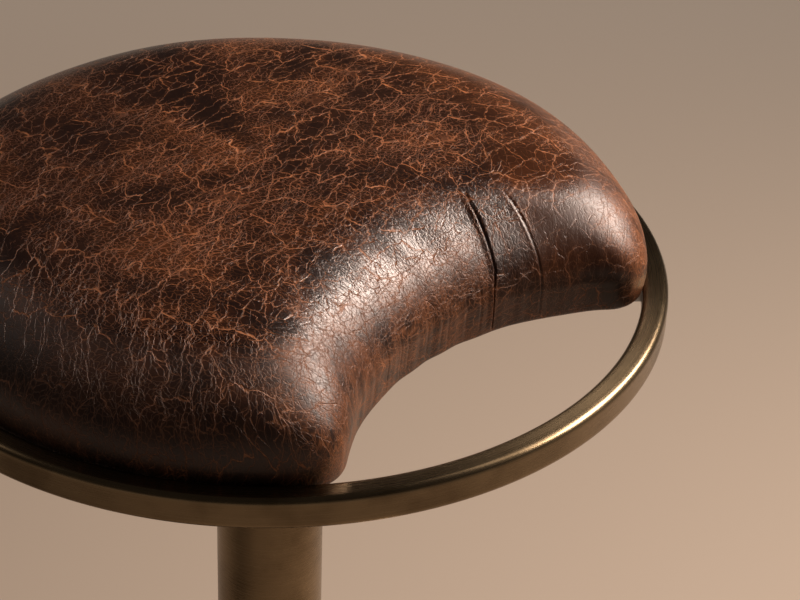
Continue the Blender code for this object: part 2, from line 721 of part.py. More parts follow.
def build_footrest(parent):
    """A ring of the same bar as the seat's, on spokes from a hub that is clamped to the column."""
    inner = FOOTREST_RADIUS - BAR_WIDTH
    low = footrest_middle - BAR_HEIGHT / 2
    bar = bar_profile(inner, FOOTREST_RADIUS, low, FOOTREST_HEIGHT, BAR_EDGE_RADIUS)
    place("footrest_ring", turned(bar, RING_SEGMENTS), "brass", parent)
    hub_low = footrest_middle - FOOTREST_HUB_HEIGHT / 2
    hub_high = footrest_middle + FOOTREST_HUB_HEIGHT / 2
    bore = COLUMN_RADIUS + CLEARANCE
    edge = FOOTREST_HUB_EDGE
    rim = footrest_hub_radius
    hub = [
        (bore, hub_low),
        (rim - edge, hub_low),
        (rim, hub_low + edge),
        (rim, hub_high - edge),
        (rim - edge, hub_high),
        (bore, hub_high),
    ]
    piece = place("footrest_hub", turned(hub, COLUMN_SEGMENTS), "brass", parent)
    spoke_angles = around(FOOTREST_SPOKES, math.pi / 2)
    screw_angles = around(FOOTREST_SPOKES, math.pi / 2 + math.pi / FOOTREST_SPOKES)
    root = rim - FOOTREST_SPOKE_SEAT
    holes = [(angle, root - CLEARANCE, FOOTREST_SPOKE_RADIUS) for angle in spoke_angles]
    holes += [(angle, COLUMN_RADIUS - edge, GRUB_SCREW_RADIUS) for angle in screw_angles]
    for angle, depth, radius in holes:
        start = (*polar(depth, angle), footrest_middle)
        end = (*polar(rim + edge, angle), footrest_middle)
        bm = bmesh.new()
        add_cylinder(bm, radius + CLEARANCE, start, end, FASTENER_SEGMENTS)
        cut(piece, bm)

    weld = inner * facet_share - CLEARANCE
    spoke_end = math.sqrt(weld**2 - FOOTREST_SPOKE_RADIUS**2)
    bm = bmesh.new()
    add_cylinder(bm, FOOTREST_SPOKE_RADIUS, (root, 0, 0), (spoke_end, 0, 0), FASTENER_SEGMENTS)
    middle = (0.0, 0.0, footrest_middle)
    first = place("footrest_spoke_1", bm, "brass", parent, middle, spoke_angles[0])
    for number, angle in enumerate(spoke_angles[1:], 2):
        repeat(first, f"footrest_spoke_{number}", middle, angle)

    tip = COLUMN_RADIUS + 2 * CLEARANCE
    bm = bmesh.new()
    add_cylinder(bm, GRUB_SCREW_RADIUS, (tip, 0, 0), (tip + GRUB_SCREW_LENGTH, 0, 0), FASTENER_SEGMENTS)
    first = place("grub_screw_1", bm, "steel", parent, middle, screw_angles[0])
    bm = bmesh.new()
    socket = tip + GRUB_SCREW_LENGTH - GRUB_SOCKET_DEPTH
    add_cylinder(bm, GRUB_SOCKET_RADIUS, (socket, 0, 0), (rim + edge, 0, 0), HEXAGON_SIDES)
    cut(first, bm)
    for number, angle in enumerate(screw_angles[1:], 2):
        other = repeat(first, f"grub_screw_{number}", middle, angle)
        bm = bmesh.new()
        add_cylinder(bm, GRUB_SOCKET_RADIUS, (socket, 0, 0), (rim + edge, 0, 0), HEXAGON_SIDES)
        cut(other, bm)


def dome(offset, outer):
    """The cover's top as (radius, height) points from the weight's boss to the rim, less an offset."""
    points = []
    for i in range(DOME_STEPS + 1):
        radius = boss_radius + (outer - boss_radius) * i / DOME_STEPS
        fall = BASE_RISE * (radius / BASE_RADIUS) ** BASE_DOME_POWER
        points.append((radius, BASE_EDGE_HEIGHT + BASE_RISE - fall - offset))
    return points


def build_base(parent):
    """A cast plate with a hub under a spun cover, on a rubber ring, and the bolt that holds the column."""
    hole = BASE_BOLT_RADIUS + CLEARANCE
    recess = BASE_WASHER_RADIUS + 2 * CLEARANCE
    groove_top = FLOOR_RING_HEIGHT + CLEARANCE
    weight = [(hole, bolt_recess_top), (recess, bolt_recess_top), (recess, WEIGHT_UNDERSIDE)]
    weight += [
        (floor_ring_inner - CLEARANCE, WEIGHT_UNDERSIDE),
        (floor_ring_inner - CLEARANCE, groove_top),
        (floor_ring_outer + CLEARANCE, groove_top),
        (floor_ring_outer + CLEARANCE, WEIGHT_UNDERSIDE),
        (weight_radius, WEIGHT_UNDERSIDE),
    ]
    plate_top = WEIGHT_UNDERSIDE + WEIGHT_PLATE
    weight += [
        (weight_radius, plate_top - WEIGHT_CHAMFER),
        (weight_radius - WEIGHT_CHAMFER, plate_top),
        (boss_radius + WEIGHT_HUB_FOOT, plate_top),
        (boss_radius, weight_top),
        (hole, weight_top),
    ]
    place("base_weight", turned(weight, BASE_SEGMENTS), "iron", parent)

    mouth = COLUMN_RADIUS + CLEARANCE
    edge = BASE_RADIUS - COVER_EDGE
    inside = BASE_RADIUS - COVER_WALL
    cover = [(mouth, collar_foot - CLEARANCE)] + dome(0.0, edge)
    rim_top = cover[-1][1] - COVER_EDGE
    cover += [(BASE_RADIUS, rim_top), (BASE_RADIUS, BASE_RIM_CLEAR)]
    cover += [(inside, BASE_RIM_CLEAR), (inside, rim_top)]
    cover += dome(COVER_WALL, edge)[::-1] + [(mouth, collar_foot - CLEARANCE - COVER_WALL)]
    place("base_cover", turned(cover, BASE_SEGMENTS), "brass", parent)

    rubber = tube_profile(floor_ring_inner, floor_ring_outer, 0.0, FLOOR_RING_HEIGHT)
    place("floor_ring", turned(rubber, BASE_SEGMENTS), "rubber", parent)

    washer = tube_profile(
        hole,
        BASE_WASHER_RADIUS,
        base_washer_underside,
        base_washer_underside + BASE_WASHER_THICKNESS,
    )
    place("base_washer", turned(washer, BEARING_SEGMENTS), "steel", parent)
    head_top = base_washer_underside - CLEARANCE
    bm = prism(hexagon(BASE_BOLT_HEAD_FLATS), head_top - BASE_BOLT_HEAD_HEIGHT, head_top)
    head = place("base_bolt", bm, "steel", parent)
    bm = bmesh.new()
    shank_top = column_bottom + BASE_BOLT_GRIP
    add_cylinder(bm, BASE_BOLT_RADIUS, (0, 0, head_top - CLEARANCE), (0, 0, shank_top), BEARING_SEGMENTS)
    unite(head, bm)

    foot = boss_radius
    lip = COLUMN_RADIUS + COLLAR_LIP
    sweep = COLLAR_WIDTH - COLLAR_LIP
    rise = COLLAR_HEIGHT - COLLAR_FOOT_HEIGHT
    collar = [(mouth, collar_foot), (foot, collar_foot), (foot, collar_foot + COLLAR_FOOT_HEIGHT)]
    for i in range(1, DOME_STEPS):
        angle = math.pi / 2 * i / DOME_STEPS
        height = COLLAR_FOOT_HEIGHT + rise * (1 - math.cos(angle))
        collar.append((foot - sweep * math.sin(angle), collar_foot + height))
    collar += [(lip, collar_foot + COLLAR_HEIGHT), (mouth, collar_foot + COLLAR_HEIGHT)]
    place("base_collar", turned(collar, BASE_SEGMENTS), "brass", parent)


def unite(piece, bm):
    """Adds a shape, given in the piece's own frame, to the piece."""
    cut(piece, bm)
    piece.modifiers[-1].operation = "UNION"


def carrier(name, height):
    """An empty on the column's axis that carries one body's pieces."""
    empty = bpy.data.objects.new(name, None)
    bpy.context.scene.collection.objects.link(empty)
    empty.location = (0.0, 0.0, height)
    return empty


LOOKS = {
    "leather": ((0.085, 0.036, 0.020), 0.42, 0.0),
    "foam": ((0.80, 0.74, 0.58), 0.95, 0.0),
    "plywood": ((0.56, 0.40, 0.24), 0.70, 0.0),
    "cloth": ((0.02, 0.02, 0.02), 0.95, 0.0),
    "brass": ((0.30, 0.205, 0.115), 0.34, 1.0),
    "bronze": ((0.45, 0.27, 0.12), 0.45, 1.0),
    "steel": ((0.42, 0.42, 0.43), 0.40, 1.0),
    "iron": ((0.05, 0.05, 0.05), 0.75, 0.0),
    "rubber": ((0.02, 0.02, 0.02), 0.90, 0.0),
}


def main():
    for existing in list(bpy.data.objects):
        bpy.data.objects.remove(existing, do_unlink=True)
    stand = carrier("stand_axis", 0.0)
    build_base(stand)
    build_column(stand)
    build_footrest(stand)
    build_bearing(stand)
    build_ball_cage(carrier("cage_axis", ball_height))
    build_seat(carrier("seat_axis", RING_TOP_HEIGHT))


main()
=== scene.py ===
"""Looks of the swivel bar stool: a distressed leather pad, antique brass, and the studio it stands in."""

import json
import math

import bpy
import numpy as np
from mathutils import Matrix, Vector


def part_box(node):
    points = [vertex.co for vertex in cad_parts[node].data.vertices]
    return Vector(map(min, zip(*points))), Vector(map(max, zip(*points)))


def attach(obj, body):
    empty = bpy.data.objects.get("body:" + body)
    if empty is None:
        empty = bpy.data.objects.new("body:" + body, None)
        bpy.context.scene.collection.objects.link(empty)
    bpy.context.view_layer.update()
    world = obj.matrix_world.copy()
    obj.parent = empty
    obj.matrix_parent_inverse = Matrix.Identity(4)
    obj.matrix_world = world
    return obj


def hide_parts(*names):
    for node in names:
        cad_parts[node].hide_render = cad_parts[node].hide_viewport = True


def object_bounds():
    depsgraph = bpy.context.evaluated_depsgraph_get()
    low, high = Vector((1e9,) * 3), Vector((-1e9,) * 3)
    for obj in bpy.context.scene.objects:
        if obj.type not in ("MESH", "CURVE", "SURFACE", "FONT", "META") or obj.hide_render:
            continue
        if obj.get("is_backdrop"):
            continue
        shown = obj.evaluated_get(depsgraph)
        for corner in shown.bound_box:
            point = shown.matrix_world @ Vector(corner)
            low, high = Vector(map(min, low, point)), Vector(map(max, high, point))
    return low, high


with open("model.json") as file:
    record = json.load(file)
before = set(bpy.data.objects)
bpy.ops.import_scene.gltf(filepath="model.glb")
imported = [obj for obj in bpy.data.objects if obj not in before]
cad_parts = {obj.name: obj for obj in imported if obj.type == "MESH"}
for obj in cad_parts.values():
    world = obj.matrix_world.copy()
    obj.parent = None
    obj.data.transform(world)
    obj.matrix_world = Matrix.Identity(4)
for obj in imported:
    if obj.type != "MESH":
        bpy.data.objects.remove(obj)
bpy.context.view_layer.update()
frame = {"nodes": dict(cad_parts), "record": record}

# Sizes of the CAD solids, in metres, and bearings in degrees
CLEARANCE = 0.0003
RING_TOP = 0.705
RING_RADIUS = 0.200
BAR_WIDTH = 0.0128
BAR_HEIGHT = 0.0162
BAR_EDGE = 0.0022
PAD_RADIUS = RING_RADIUS - BAR_WIDTH + CLEARANCE
PAD_BULGE = 0.0012
PAD_BULGE_HEIGHT = 0.012
PAD_SHOULDER_WIDTH = 0.061
PAD_SHOULDER_HEIGHT = 0.048
PAD_CROWN = 0.007
PAD_CROWN_CENTRE = 0.020
PAD_CROWN_POWER = 1.5
CORNER_SWELL = 0.024
CORNER_REACH = 0.018
WALL_GAP = 0.0008
SEAT_DROP = 0.006
NOTCH_RADIUS = 0.152
NOTCH_CENTRE = 0.265
NOTCH_CORNER = 0.020
DUST_HEIGHT = 0.6979
DUST_THICKNESS = 0.0006
DUST_RADIUS = 0.1720
DUST_NOTCH = 0.156
DUST_CORNER = 0.016
SPIDER_TOP = 0.6974
SPIDER_THICKNESS = 0.006
SPIDER_HUB = 0.055
SPIDER_ARM = 0.030
SPINDLE_BORE = 0.0128
SKIRT_RADIUS = 0.032
SKIRT_WALL = 0.002
SKIRT_TOP = 0.6828
SKIRT_BOTTOM = 0.6488
COLUMN_RADIUS = 0.0285
COLUMN_WALL = 0.002
COLUMN_TOP = 0.6613
COLUMN_BOTTOM = 0.0261
FOOTREST_TOP = 0.300
FOOTREST_RADIUS = 0.168
HUB_RADIUS = 0.0398
HUB_HEIGHT = 0.034
HUB_HOLE_RADIUS = 0.0043
HUB_HOLE_BEARINGS = (30, 150, 270)
SPOKE_RADIUS = 0.0065
SPOKE_BEARINGS = (90, 210, 330)
BASE_RADIUS = 0.215
BASE_EDGE = 0.002
BASE_EDGE_HEIGHT = 0.010
BASE_RISE = 0.018
BASE_POWER = 2.5
BASE_WALL = 0.0015
BASE_RIM = 0.0012
COLLAR_BOTTOM = 0.0283
COLLAR_HEIGHT = 0.018
COLLAR_FOOT_HEIGHT = 0.004
COLLAR_FOOT_RADIUS = 0.0455
COLLAR_LIP_RADIUS = 0.0315
FLOOR_RING_INNER = 0.1892
FLOOR_RING_OUTER = 0.2012
FLOOR_RING_HEIGHT = 0.004
BALL_COUNT = 10

# Roundings of the edges, in metres
RING_EDGE = 0.0030
COLUMN_EDGE = 0.0004
BORE_EDGE = 0.0004
HUB_EDGE = 0.003
ROD_EDGE = 0.0006
SPIDER_EDGE = 0.0007
TREAD_EDGE = 0.0008
COLLAR_LIP_EDGE = 0.001
COLLAR_FOOT_EDGE = 0.0004

# How far the dust sheet hangs between the spider's arms, in metres
DUST_SAG = 0.0007

# How far the welded ends reach into what they join, and how far a drill overruns, in metres
ARM_BITE = 0.0004
SPOKE_IN_HUB = 0.006
SPOKE_IN_RING = 0.001
DRILL_INSIDE = 0.001
DRILL_OUTSIDE = 0.003

# Steps round each turned piece
RING_SEGMENTS = 400
FOOTREST_SEGMENTS = 360
BASE_SEGMENTS = 320
TUBE_SEGMENTS = 192
HUB_SEGMENTS = 160
DRILL_SEGMENTS = 40

# Angles past which an edge stays sharp under smooth shading
COPY_SHARP = math.radians(32)
CUT_SHARP = math.radians(40)

# How near to each other the points of a CAD mesh are merged, in metres
WELD_DISTANCE = 1e-5


class Socket:
    """A shader value that adds, multiplies and so on, one Math node for each step."""

    def __init__(self, graph, output):
        self.graph = graph
        self.output = output

    def math(self, operation, *others):
        return self.graph.node("ShaderNodeMath", {"operation": operation}, [self, *others])

    def __add__(self, other):
        return self.math("ADD", other)

    def __radd__(self, other):
        return self.math("ADD", other)

    def __sub__(self, other):
        return self.math("SUBTRACT", other)

    def __rsub__(self, other):
        return self.graph.node("ShaderNodeMath", {"operation": "SUBTRACT"}, [other, self])

    def __mul__(self, other):
        return self.math("MULTIPLY", other)

    def __rmul__(self, other):
        return self.math("MULTIPLY", other)

    def __pow__(self, other):
        return self.math("POWER", other)

    def at_least(self, other):
        return self.math("MAXIMUM", other)

    def at_most(self, other):
        return self.math("MINIMUM", other)

    def between(self, low, high):
        """0 below low, 1 above high, and a smooth step between. High may be the lower one."""
        values = {"Value": self, "From Min": low, "From Max": high}
        return self.graph.node("ShaderNodeMapRange", {"interpolation_type": "SMOOTHSTEP"}, values)

    def part(self, axis):
        return self.graph.node("ShaderNodeSeparateXYZ", {}, [self], axis)

    def moved(self, other):
        return self.graph.node("ShaderNodeVectorMath", {"operation": "ADD"}, [self, other])

    def stretched(self, size, turn=0.0):
        """This place in a grid whose cells have that size, turned about Z."""
        values = {"Vector": self, "Scale": size, "Rotation": (0.0, 0.0, turn)}
        return self.graph.node("ShaderNodeMapping", {"vector_type": "TEXTURE"}, values)

    def noise(self, scale, detail=2.0, roughness=0.5, output="Fac", space="2D", **more):
        values = {"Vector": self, "Scale": scale, "Detail": detail, "Roughness": roughness, **more}
        return self.graph.node("ShaderNodeTexNoise", {"noise_dimensions": space}, values, output)

    def wander(self, scale, reach, detail=1.0):
        """This place, moved about by up to half the reach."""
        cloud = self.noise(scale, detail, output="Color")
        steps = [cloud, (reach, reach, 0.0), (-reach / 2, -reach / 2, 0.0)]
        return self.moved(self.graph.node("ShaderNodeVectorMath", {"operation": "MULTIPLY_ADD"}, steps))

    def edges(self, scale=1.0):
        """Distance to the nearest border of a flat cell pattern, in cells."""
        settings = {"feature": "DISTANCE_TO_EDGE", "voronoi_dimensions": "2D"}
        return self.graph.node("ShaderNodeTexVoronoi", settings, {"Vector": self, "Scale": scale}, "Distance")


class Graph:
    """The node tree of one material, ending in a Principled shader."""

    def __init__(self, name):
        self.material = bpy.data.materials.new(name)
        self.material.use_nodes = True
        self.tree = self.material.node_tree
        self.shader = self.tree.nodes["Principled BSDF"]

    def node(self, kind, settings=None, inputs=None, output=0):
        """A node of any kind with its settings and inputs. Gives one of its outputs."""
        made = self.tree.nodes.new(kind)
        for key, value in (settings or {}).items():
            setattr(made, key, value)
        pairs = inputs.items() if isinstance(inputs, dict) else enumerate(inputs or [])
        for key, value in pairs:
            self.feed(made.inputs[key], value)
        return Socket(self, made.outputs[output])

    def feed(self, target, value):
        """Links a shader value to an input, or sets the input to a plain one."""
        if isinstance(value, Socket):
            self.tree.links.new(value.output, target)
        elif target.type == "RGBA" and len(value) == 3:
            target.default_value = (*value, 1.0)
        else:
            target.default_value = value

    def place(self):
        return self.node("ShaderNodeTexCoord", output="Object")

    def attribute(self, name):
        return self.node("ShaderNodeAttribute", {"attribute_name": name}, output="Vector")

    def mix(self, factor, first, second):
        """A colour that goes from the first to the second as the factor goes from 0 to 1."""
        return self.node("ShaderNodeMix", {"data_type": "RGBA"}, {0: factor, 6: first, 7: second}, 2)

    def bump(self, height, distance, strength=1.0):
        return self.node("ShaderNodeBump", {}, {"Height": height, "Distance": distance, "Strength": strength})

    def shade(self, **values):
        """Feeds the shader's inputs, named with underscores for spaces. Gives the material."""
        for key, value in values.items():
            self.feed(self.shader.inputs[key.replace("_", " ")], value)
        return self.material


def surface(name, points, along=False, poles=(False, False)):
    """A smooth mesh object over a grid of points, given as (rows, columns, 3).

    Neighbours in the grid make quads, and the last column joins the first. along joins the last row to the
    first as well. A pole closes the first or the last row with a fan to that row's middle. The faces point
    outwards.
    """
    rows, columns = points.shape[:2]
    verts = points.reshape(-1, 3)
    index = np.arange(rows * columns).reshape(rows, columns)
    index = np.concatenate([index, index[:, :1]], 1)
    if along:
        index = np.concatenate([index, index[:1]], 0)
    quads = np.stack([index[:-1, :-1], index[:-1, 1:], index[1:, 1:], index[1:, :-1]], -1).reshape(-1, 4)
    faces = [quads]
    for row, wanted in zip((0, rows - 1), poles):
        if wanted:
            ring = index[row] if row else index[row, ::-1]
            verts = np.concatenate([verts, verts[ring[:-1]].mean(0)[None]])
            tip = np.full(len(ring) - 1, len(verts) - 1)
            faces.append(np.stack([ring[:-1], ring[1:], tip], -1))
    corners = verts[quads]
    volume = (corners[:, 0] * np.cross(corners[:, 1] - corners[:, 0], corners[:, 2] - corners[:, 0])).sum()
    volume += (corners[:, 0] * np.cross(corners[:, 2] - corners[:, 0], corners[:, 3] - corners[:, 0])).sum()
    turned_faces = [face[:, ::-1] if volume < 0 else face for face in faces]
    mesh = bpy.data.meshes.new(name)
    mesh.from_pydata(verts.tolist(), [], [f for part in turned_faces for f in part.tolist()])
    mesh.shade_smooth()
    piece = bpy.data.objects.new(name, mesh)
    bpy.context.scene.collection.objects.link(piece)
    return piece


def eased(corners, steps=6):
    """A closed (radius, height) loop whose corners (radius, height, edge) are rounded off.

    A circle of the edge's radius touches both sides of its corner. One more point on each side, 0.4 of the
    edge from the circle but within a quarter of the straight, keeps the flats flat under smooth shading.
    """
    table = np.array(corners, float)
    spot, edge = table[:, None, :2], table[:, None, 2:]
    back = np.roll(spot, 1, 0) - spot
    ahead = np.roll(spot, -1, 0) - spot
    back_length = np.linalg.norm(back, axis=2, keepdims=True)
    ahead_length = np.linalg.norm(ahead, axis=2, keepdims=True)
    back, ahead = back / back_length, ahead / ahead_length
    half = np.arccos(np.clip((back * ahead).sum(2, keepdims=True), -0.9999, 0.9999)) / 2
    reach = edge / np.tan(half)
    start, end = spot + back * reach, spot + ahead * reach
    bisector = (back + ahead) / np.linalg.norm(back + ahead, axis=2, keepdims=True)
    middle = spot + bisector * edge / np.sin(half)
    sweep = np.pi - 2 * half
    t = np.linspace(0, 1, steps + 1)[None, :, None]
    swing = np.sin((1 - t) * sweep) * (start - middle) + np.sin(t * sweep) * (end - middle)
    arc = middle + swing / np.sin(sweep)
    before = start + back * np.minimum(edge * 0.4, (back_length - reach) * 0.25)
    after = end + ahead * np.minimum(edge * 0.4, (ahead_length - reach) * 0.25)
    return np.concatenate([before, arc, after], 1).reshape(-1, 2)


def lathe(name, loop, segments):
    """A closed (radius, height) loop carried round Z: x = r cos a, y = r sin a, z = height."""
    angle = np.linspace(0, 2 * np.pi, segments, endpoint=False)
    radius, height = loop[:, :1], loop[:, 1:]
    points = np.stack([radius * np.cos(angle), radius * np.sin(angle), height + 0 * angle], -1)
    return surface(name, points, along=True)


def box_loop(inner, outer, bottom, top, edge):
    """A rectangle of (radius, height) with its four corners rounded off."""
    return eased([(inner, bottom, edge), (outer, bottom, edge), (outer, top, edge), (inner, top, edge)])


def bell(value, width):
    """A bell curve of height 1: e to the power of minus the square of value over width."""
    return np.exp(-((value / width) ** 2))


def step(value, low, high):
    """A smooth step, 3 t squared less 2 t cubed, from 0 at low to 1 at high. High may be the lower one."""
    t = np.clip((value - low) / (high - low), 0, 1)
    return t * t * (3 - 2 * t)


# Leather pad: steps of its grid along half the crescent and from the hem to the middle
BITE_STEPS = 240
CORNER_STEPS = 40
RIM_STEPS = 130
HEM_ROWS = 5
LIP_ROWS = 8
FOOT_ROWS = 10
SIDE_ROWS = 84
FLAT_ROWS = 23
MIDDLE_ROWS = 22

# Rows beside the shoulder that give the way outwards, columns over which a horn fades, stride when settling
OUTWARD_ROWS = 4
HORN_BLUR = 25
SETTLED_STRIDE = 4

# Where the skin is relaxed, softened and settled: levels or insets, and columns before and after a corner
RELAXED_LEVELS = (0.004, 0.020)
RELAXED_COLUMNS = (40, 24)
SOFTENED_LEVELS = (0.012, 0.030)
SOFTENED_COLUMNS = (50, 30)
SETTLED_INSETS = (0.075, 0.055)
SETTLED_COLUMNS = (90, 90)

# The hem under the board, the lip above it and the flat beside the shoulder, in metres
HEM_INSETS = (0.020, 0.003)
LIP_RADIUS = 0.0026
FLAT_WIDTH = 0.030
MIDDLE_INSET = 0.050

# Where the horns are fullest, how far they swell, how wide, and the levels where that begins, in metres
HORN_X = 0.112
HORN_Y = -0.118
HORN_SWELL = 0.0030
HORN_WIDTH = 0.034
HORN_LEVELS = (0.008, 0.030)

# The roll between the top and the side: ranges of inset and level over which it begins
ROLL_INSETS = (0.080, 0.040)
ROLL_LEVELS = (0.008, 0.026)

# Creases across the notch's roll: spots of (degrees, inset), then depth, width in degrees and lip height
DEEP_CREASE = (
    [(16.4, 0.043), (15.9, 0.028), (15.4, 0.0166), (14.7, 0.004), (13.4, -0.0012)],
    0.0028, 0.17, 0.0009,
)
SHALLOW_CREASE = (
    [(21.9, 0.041), (22.6, 0.030), (23.0, 0.018), (23.4, 0.006), (23.6, -0.0012)],
    0.0006, 0.15, 0.0002,
)
# Share of the painted shade that the shallow crease's gap gets
SHALLOW_CREASE_SHADE = 0.7

# Where a crease fades: past its end and before it, and at its foot, in metres
CREASE_PAST = 0.004
CREASE_BEFORE = 0.014
CREASE_FOOT = (-0.005, 0.004)

# The lip beside a crease: where it starts, is highest and ends, in widths of the crease
LIP_START = -9
LIP_TOP = -1.2
LIP_END = 0.3

# Faint gathers at the foot of the notch's wall: bearings, the line of one, then depth, width and lip
GATHER_BEARINGS = (-15.5, -10.8, -8.6, -2.9, 0.8, 2.6, 7.1, 10.4)
GATHER_LINE = ((0.0, 0.008), (0.35, 0.004), (0.15, -0.0012))
GATHER = (0.0003, 0.30, 0.0001)

# How far the waves in the skin move it, in metres
ROLL_WAVE = 0.0002
WALL_WAVE = 0.00012
WALL_RIPPLE = 0.00005
TOP_WAVE = 0.0005

# Wear: shares beside the wall's, and where it starts, by length below the shoulder and by bearing in degrees
CORNER_WEAR = 1.2
LIT_RIM_WEAR = 0.7
OTHER_RIM_WEAR = 0.15
WORN_DROPS = (0.040, 0.056)
DULL_DROPS = (0.040, 0.062)
WORN_BEARINGS = (15.0, 12.5)
SLEEK_BEARINGS = (19.0, 26.0)

# Places of the grid that lie closer together: extra density, share of the way along half the bite, width
CROWDS = ((4, 0.335, 0.045), (2, 0.50, 0.03))


def crowded(count):
    """Shares of the way along half the bite, closer together where its creases run.

    The density is 1 plus a bell at each crease, and the shares are equal parts of its running sum.
    """
    share = np.linspace(0, 1, 2000)
    density = 1 + sum(extra * bell(share - place, width) for extra, place, width in CROWDS)
    total = np.concatenate([[0], np.cumsum((density[1:] + density[:-1]) / 2)])
    return np.interp(np.arange(count) / count * total[-1], total, share)


def crescent(outer, notch, corner):
    """Outlines of a disc with a round bite out of its -Y side and rounded corners, one row for each inset.

    Each corner is a circle that touches the rim from inside and the bite from outside. The columns run from
    the bite's middle round the +X side, and the other half is their mirror image.
    """
    outer, notch, corner = outer[:, None], notch[:, None], corner[:, None]
    reach = outer - corner
    corner_y = ((notch + corner) ** 2 - reach**2 - NOTCH_CENTRE**2) / (2 * NOTCH_CENTRE)
    corner_x = np.sqrt(reach**2 - corner_y**2)
    rim_angle = np.arctan2(corner_y, corner_x)
    bite_angle = np.arctan2(corner_y + NOTCH_CENTRE, corner_x)
    bite = np.pi / 2 + (bite_angle - np.pi / 2) * crowded(BITE_STEPS)
    turn = bite_angle - np.pi + (rim_angle - bite_angle + np.pi) * np.arange(CORNER_STEPS) / CORNER_STEPS
    rim = rim_angle + (np.pi / 2 - rim_angle) * np.arange(RIM_STEPS + 1) / RIM_STEPS
    bite_y = notch * np.sin(bite) - NOTCH_CENTRE
    x = np.concatenate([notch * np.cos(bite), corner_x + corner * np.cos(turn), outer * np.cos(rim)], 1)
    y = np.concatenate([bite_y, corner_y + corner * np.sin(turn), outer * np.sin(rim)], 1)
    return np.concatenate([x, -x[:, -2:0:-1]], 1), np.concatenate([y, y[:, -2:0:-1]], 1)


def rim_share():
    """How far each column belongs to the rim: 0 along the bite, 1 along the rim, a smooth step between."""
    corner = step(np.arange(CORNER_STEPS), 0, CORNER_STEPS)
    half = np.concatenate([np.zeros(BITE_STEPS), corner, np.ones(RIM_STEPS + 1)])
    return np.concatenate([half, half[-2:0:-1]])


def horn_share(columns, before, after):
    """1 for the columns of both horns, from some before the corner to some after it, with a ramp to 0 beside.

    The ramp is the running mean of the ones and zeros.
    """
    near = np.zeros(columns)
    near[BITE_STEPS - before:BITE_STEPS + CORNER_STEPS + after] = 1
    near = near + np.roll(near[::-1], 1)
    return np.convolve(np.tile(near, 3), np.ones(HORN_BLUR) / HORN_BLUR, "same")[columns:2 * columns]


def relaxed(x, y, share, rounds=160):
    """Evens out the outlines round their corners: each point goes part of the way to its neighbours' middle.

    The share says how far, and is 0 at the foot, which keeps its outline.
    """
    for _ in range(rounds):
        x = x + 0.5 * share * ((np.roll(x, 1, 1) + np.roll(x, -1, 1)) / 2 - x)
        y = y + 0.5 * share * ((np.roll(y, 1, 1) + np.roll(y, -1, 1)) / 2 - y)
    return x, y


def softened(points, share, rounds=60):
    """Rounds the horns' tops: each point goes part of the way to the middle of its four neighbours."""
    inner = points[1:-1]
    for _ in range(rounds):
        middle = (np.roll(inner, 1, 1) + np.roll(inner, -1, 1) + points[2:] + points[:-2]) / 4
        points = np.concatenate([points[:1], inner + share[1:-1, :, None] * (middle - inner), points[-1:]])
        inner = points[1:-1]
    return points


def pad_profile():
    """The pad's profile, from the hem under the board up to the flat past the shoulder.

    A quarter circle turns the hem up to the foot, and a quarter of an ellipse rises from the bulge to the
    shoulder. Gives each row's inset along the notch, its inset along the rim and its height over the ring.
    """
    turn = np.linspace(0, np.pi / 2, LIP_ROWS)
    hem = np.linspace(*HEM_INSETS, HEM_ROWS)
    under_inset = np.concatenate([hem, LIP_RADIUS - LIP_RADIUS * np.sin(turn)])
    under_height = np.concatenate([np.zeros(HEM_ROWS), LIP_RADIUS - LIP_RADIUS * np.cos(turn)]) - SEAT_DROP
    foot = np.linspace(0, 1, FOOT_ROWS + 2)[1:-1]
    foot_height = under_height[-1] + (PAD_BULGE_HEIGHT - under_height[-1]) * foot
    angle = np.linspace(0, np.pi / 2, SIDE_ROWS)
    side_inset = PAD_SHOULDER_WIDTH - (PAD_SHOULDER_WIDTH + PAD_BULGE) * np.cos(angle)
    side_height = PAD_BULGE_HEIGHT + (PAD_SHOULDER_HEIGHT - PAD_BULGE_HEIGHT) * np.sin(angle)
    flat_inset = PAD_SHOULDER_WIDTH + np.linspace(0, FLAT_WIDTH, FLAT_ROWS + 1)[1:]
    flat_height = np.full(FLAT_ROWS, PAD_SHOULDER_HEIGHT)
    notch_inset = np.concatenate([under_inset, -PAD_BULGE * foot, side_inset, flat_inset])
    rim_foot = WALL_GAP * (1 - np.sqrt(foot)) - PAD_BULGE * np.sin(foot * np.pi / 2)
    rim_inset = np.concatenate([WALL_GAP + under_inset, rim_foot, side_inset, flat_inset])
    return notch_inset, rim_inset, np.concatenate([under_height, foot_height, side_height, flat_height])


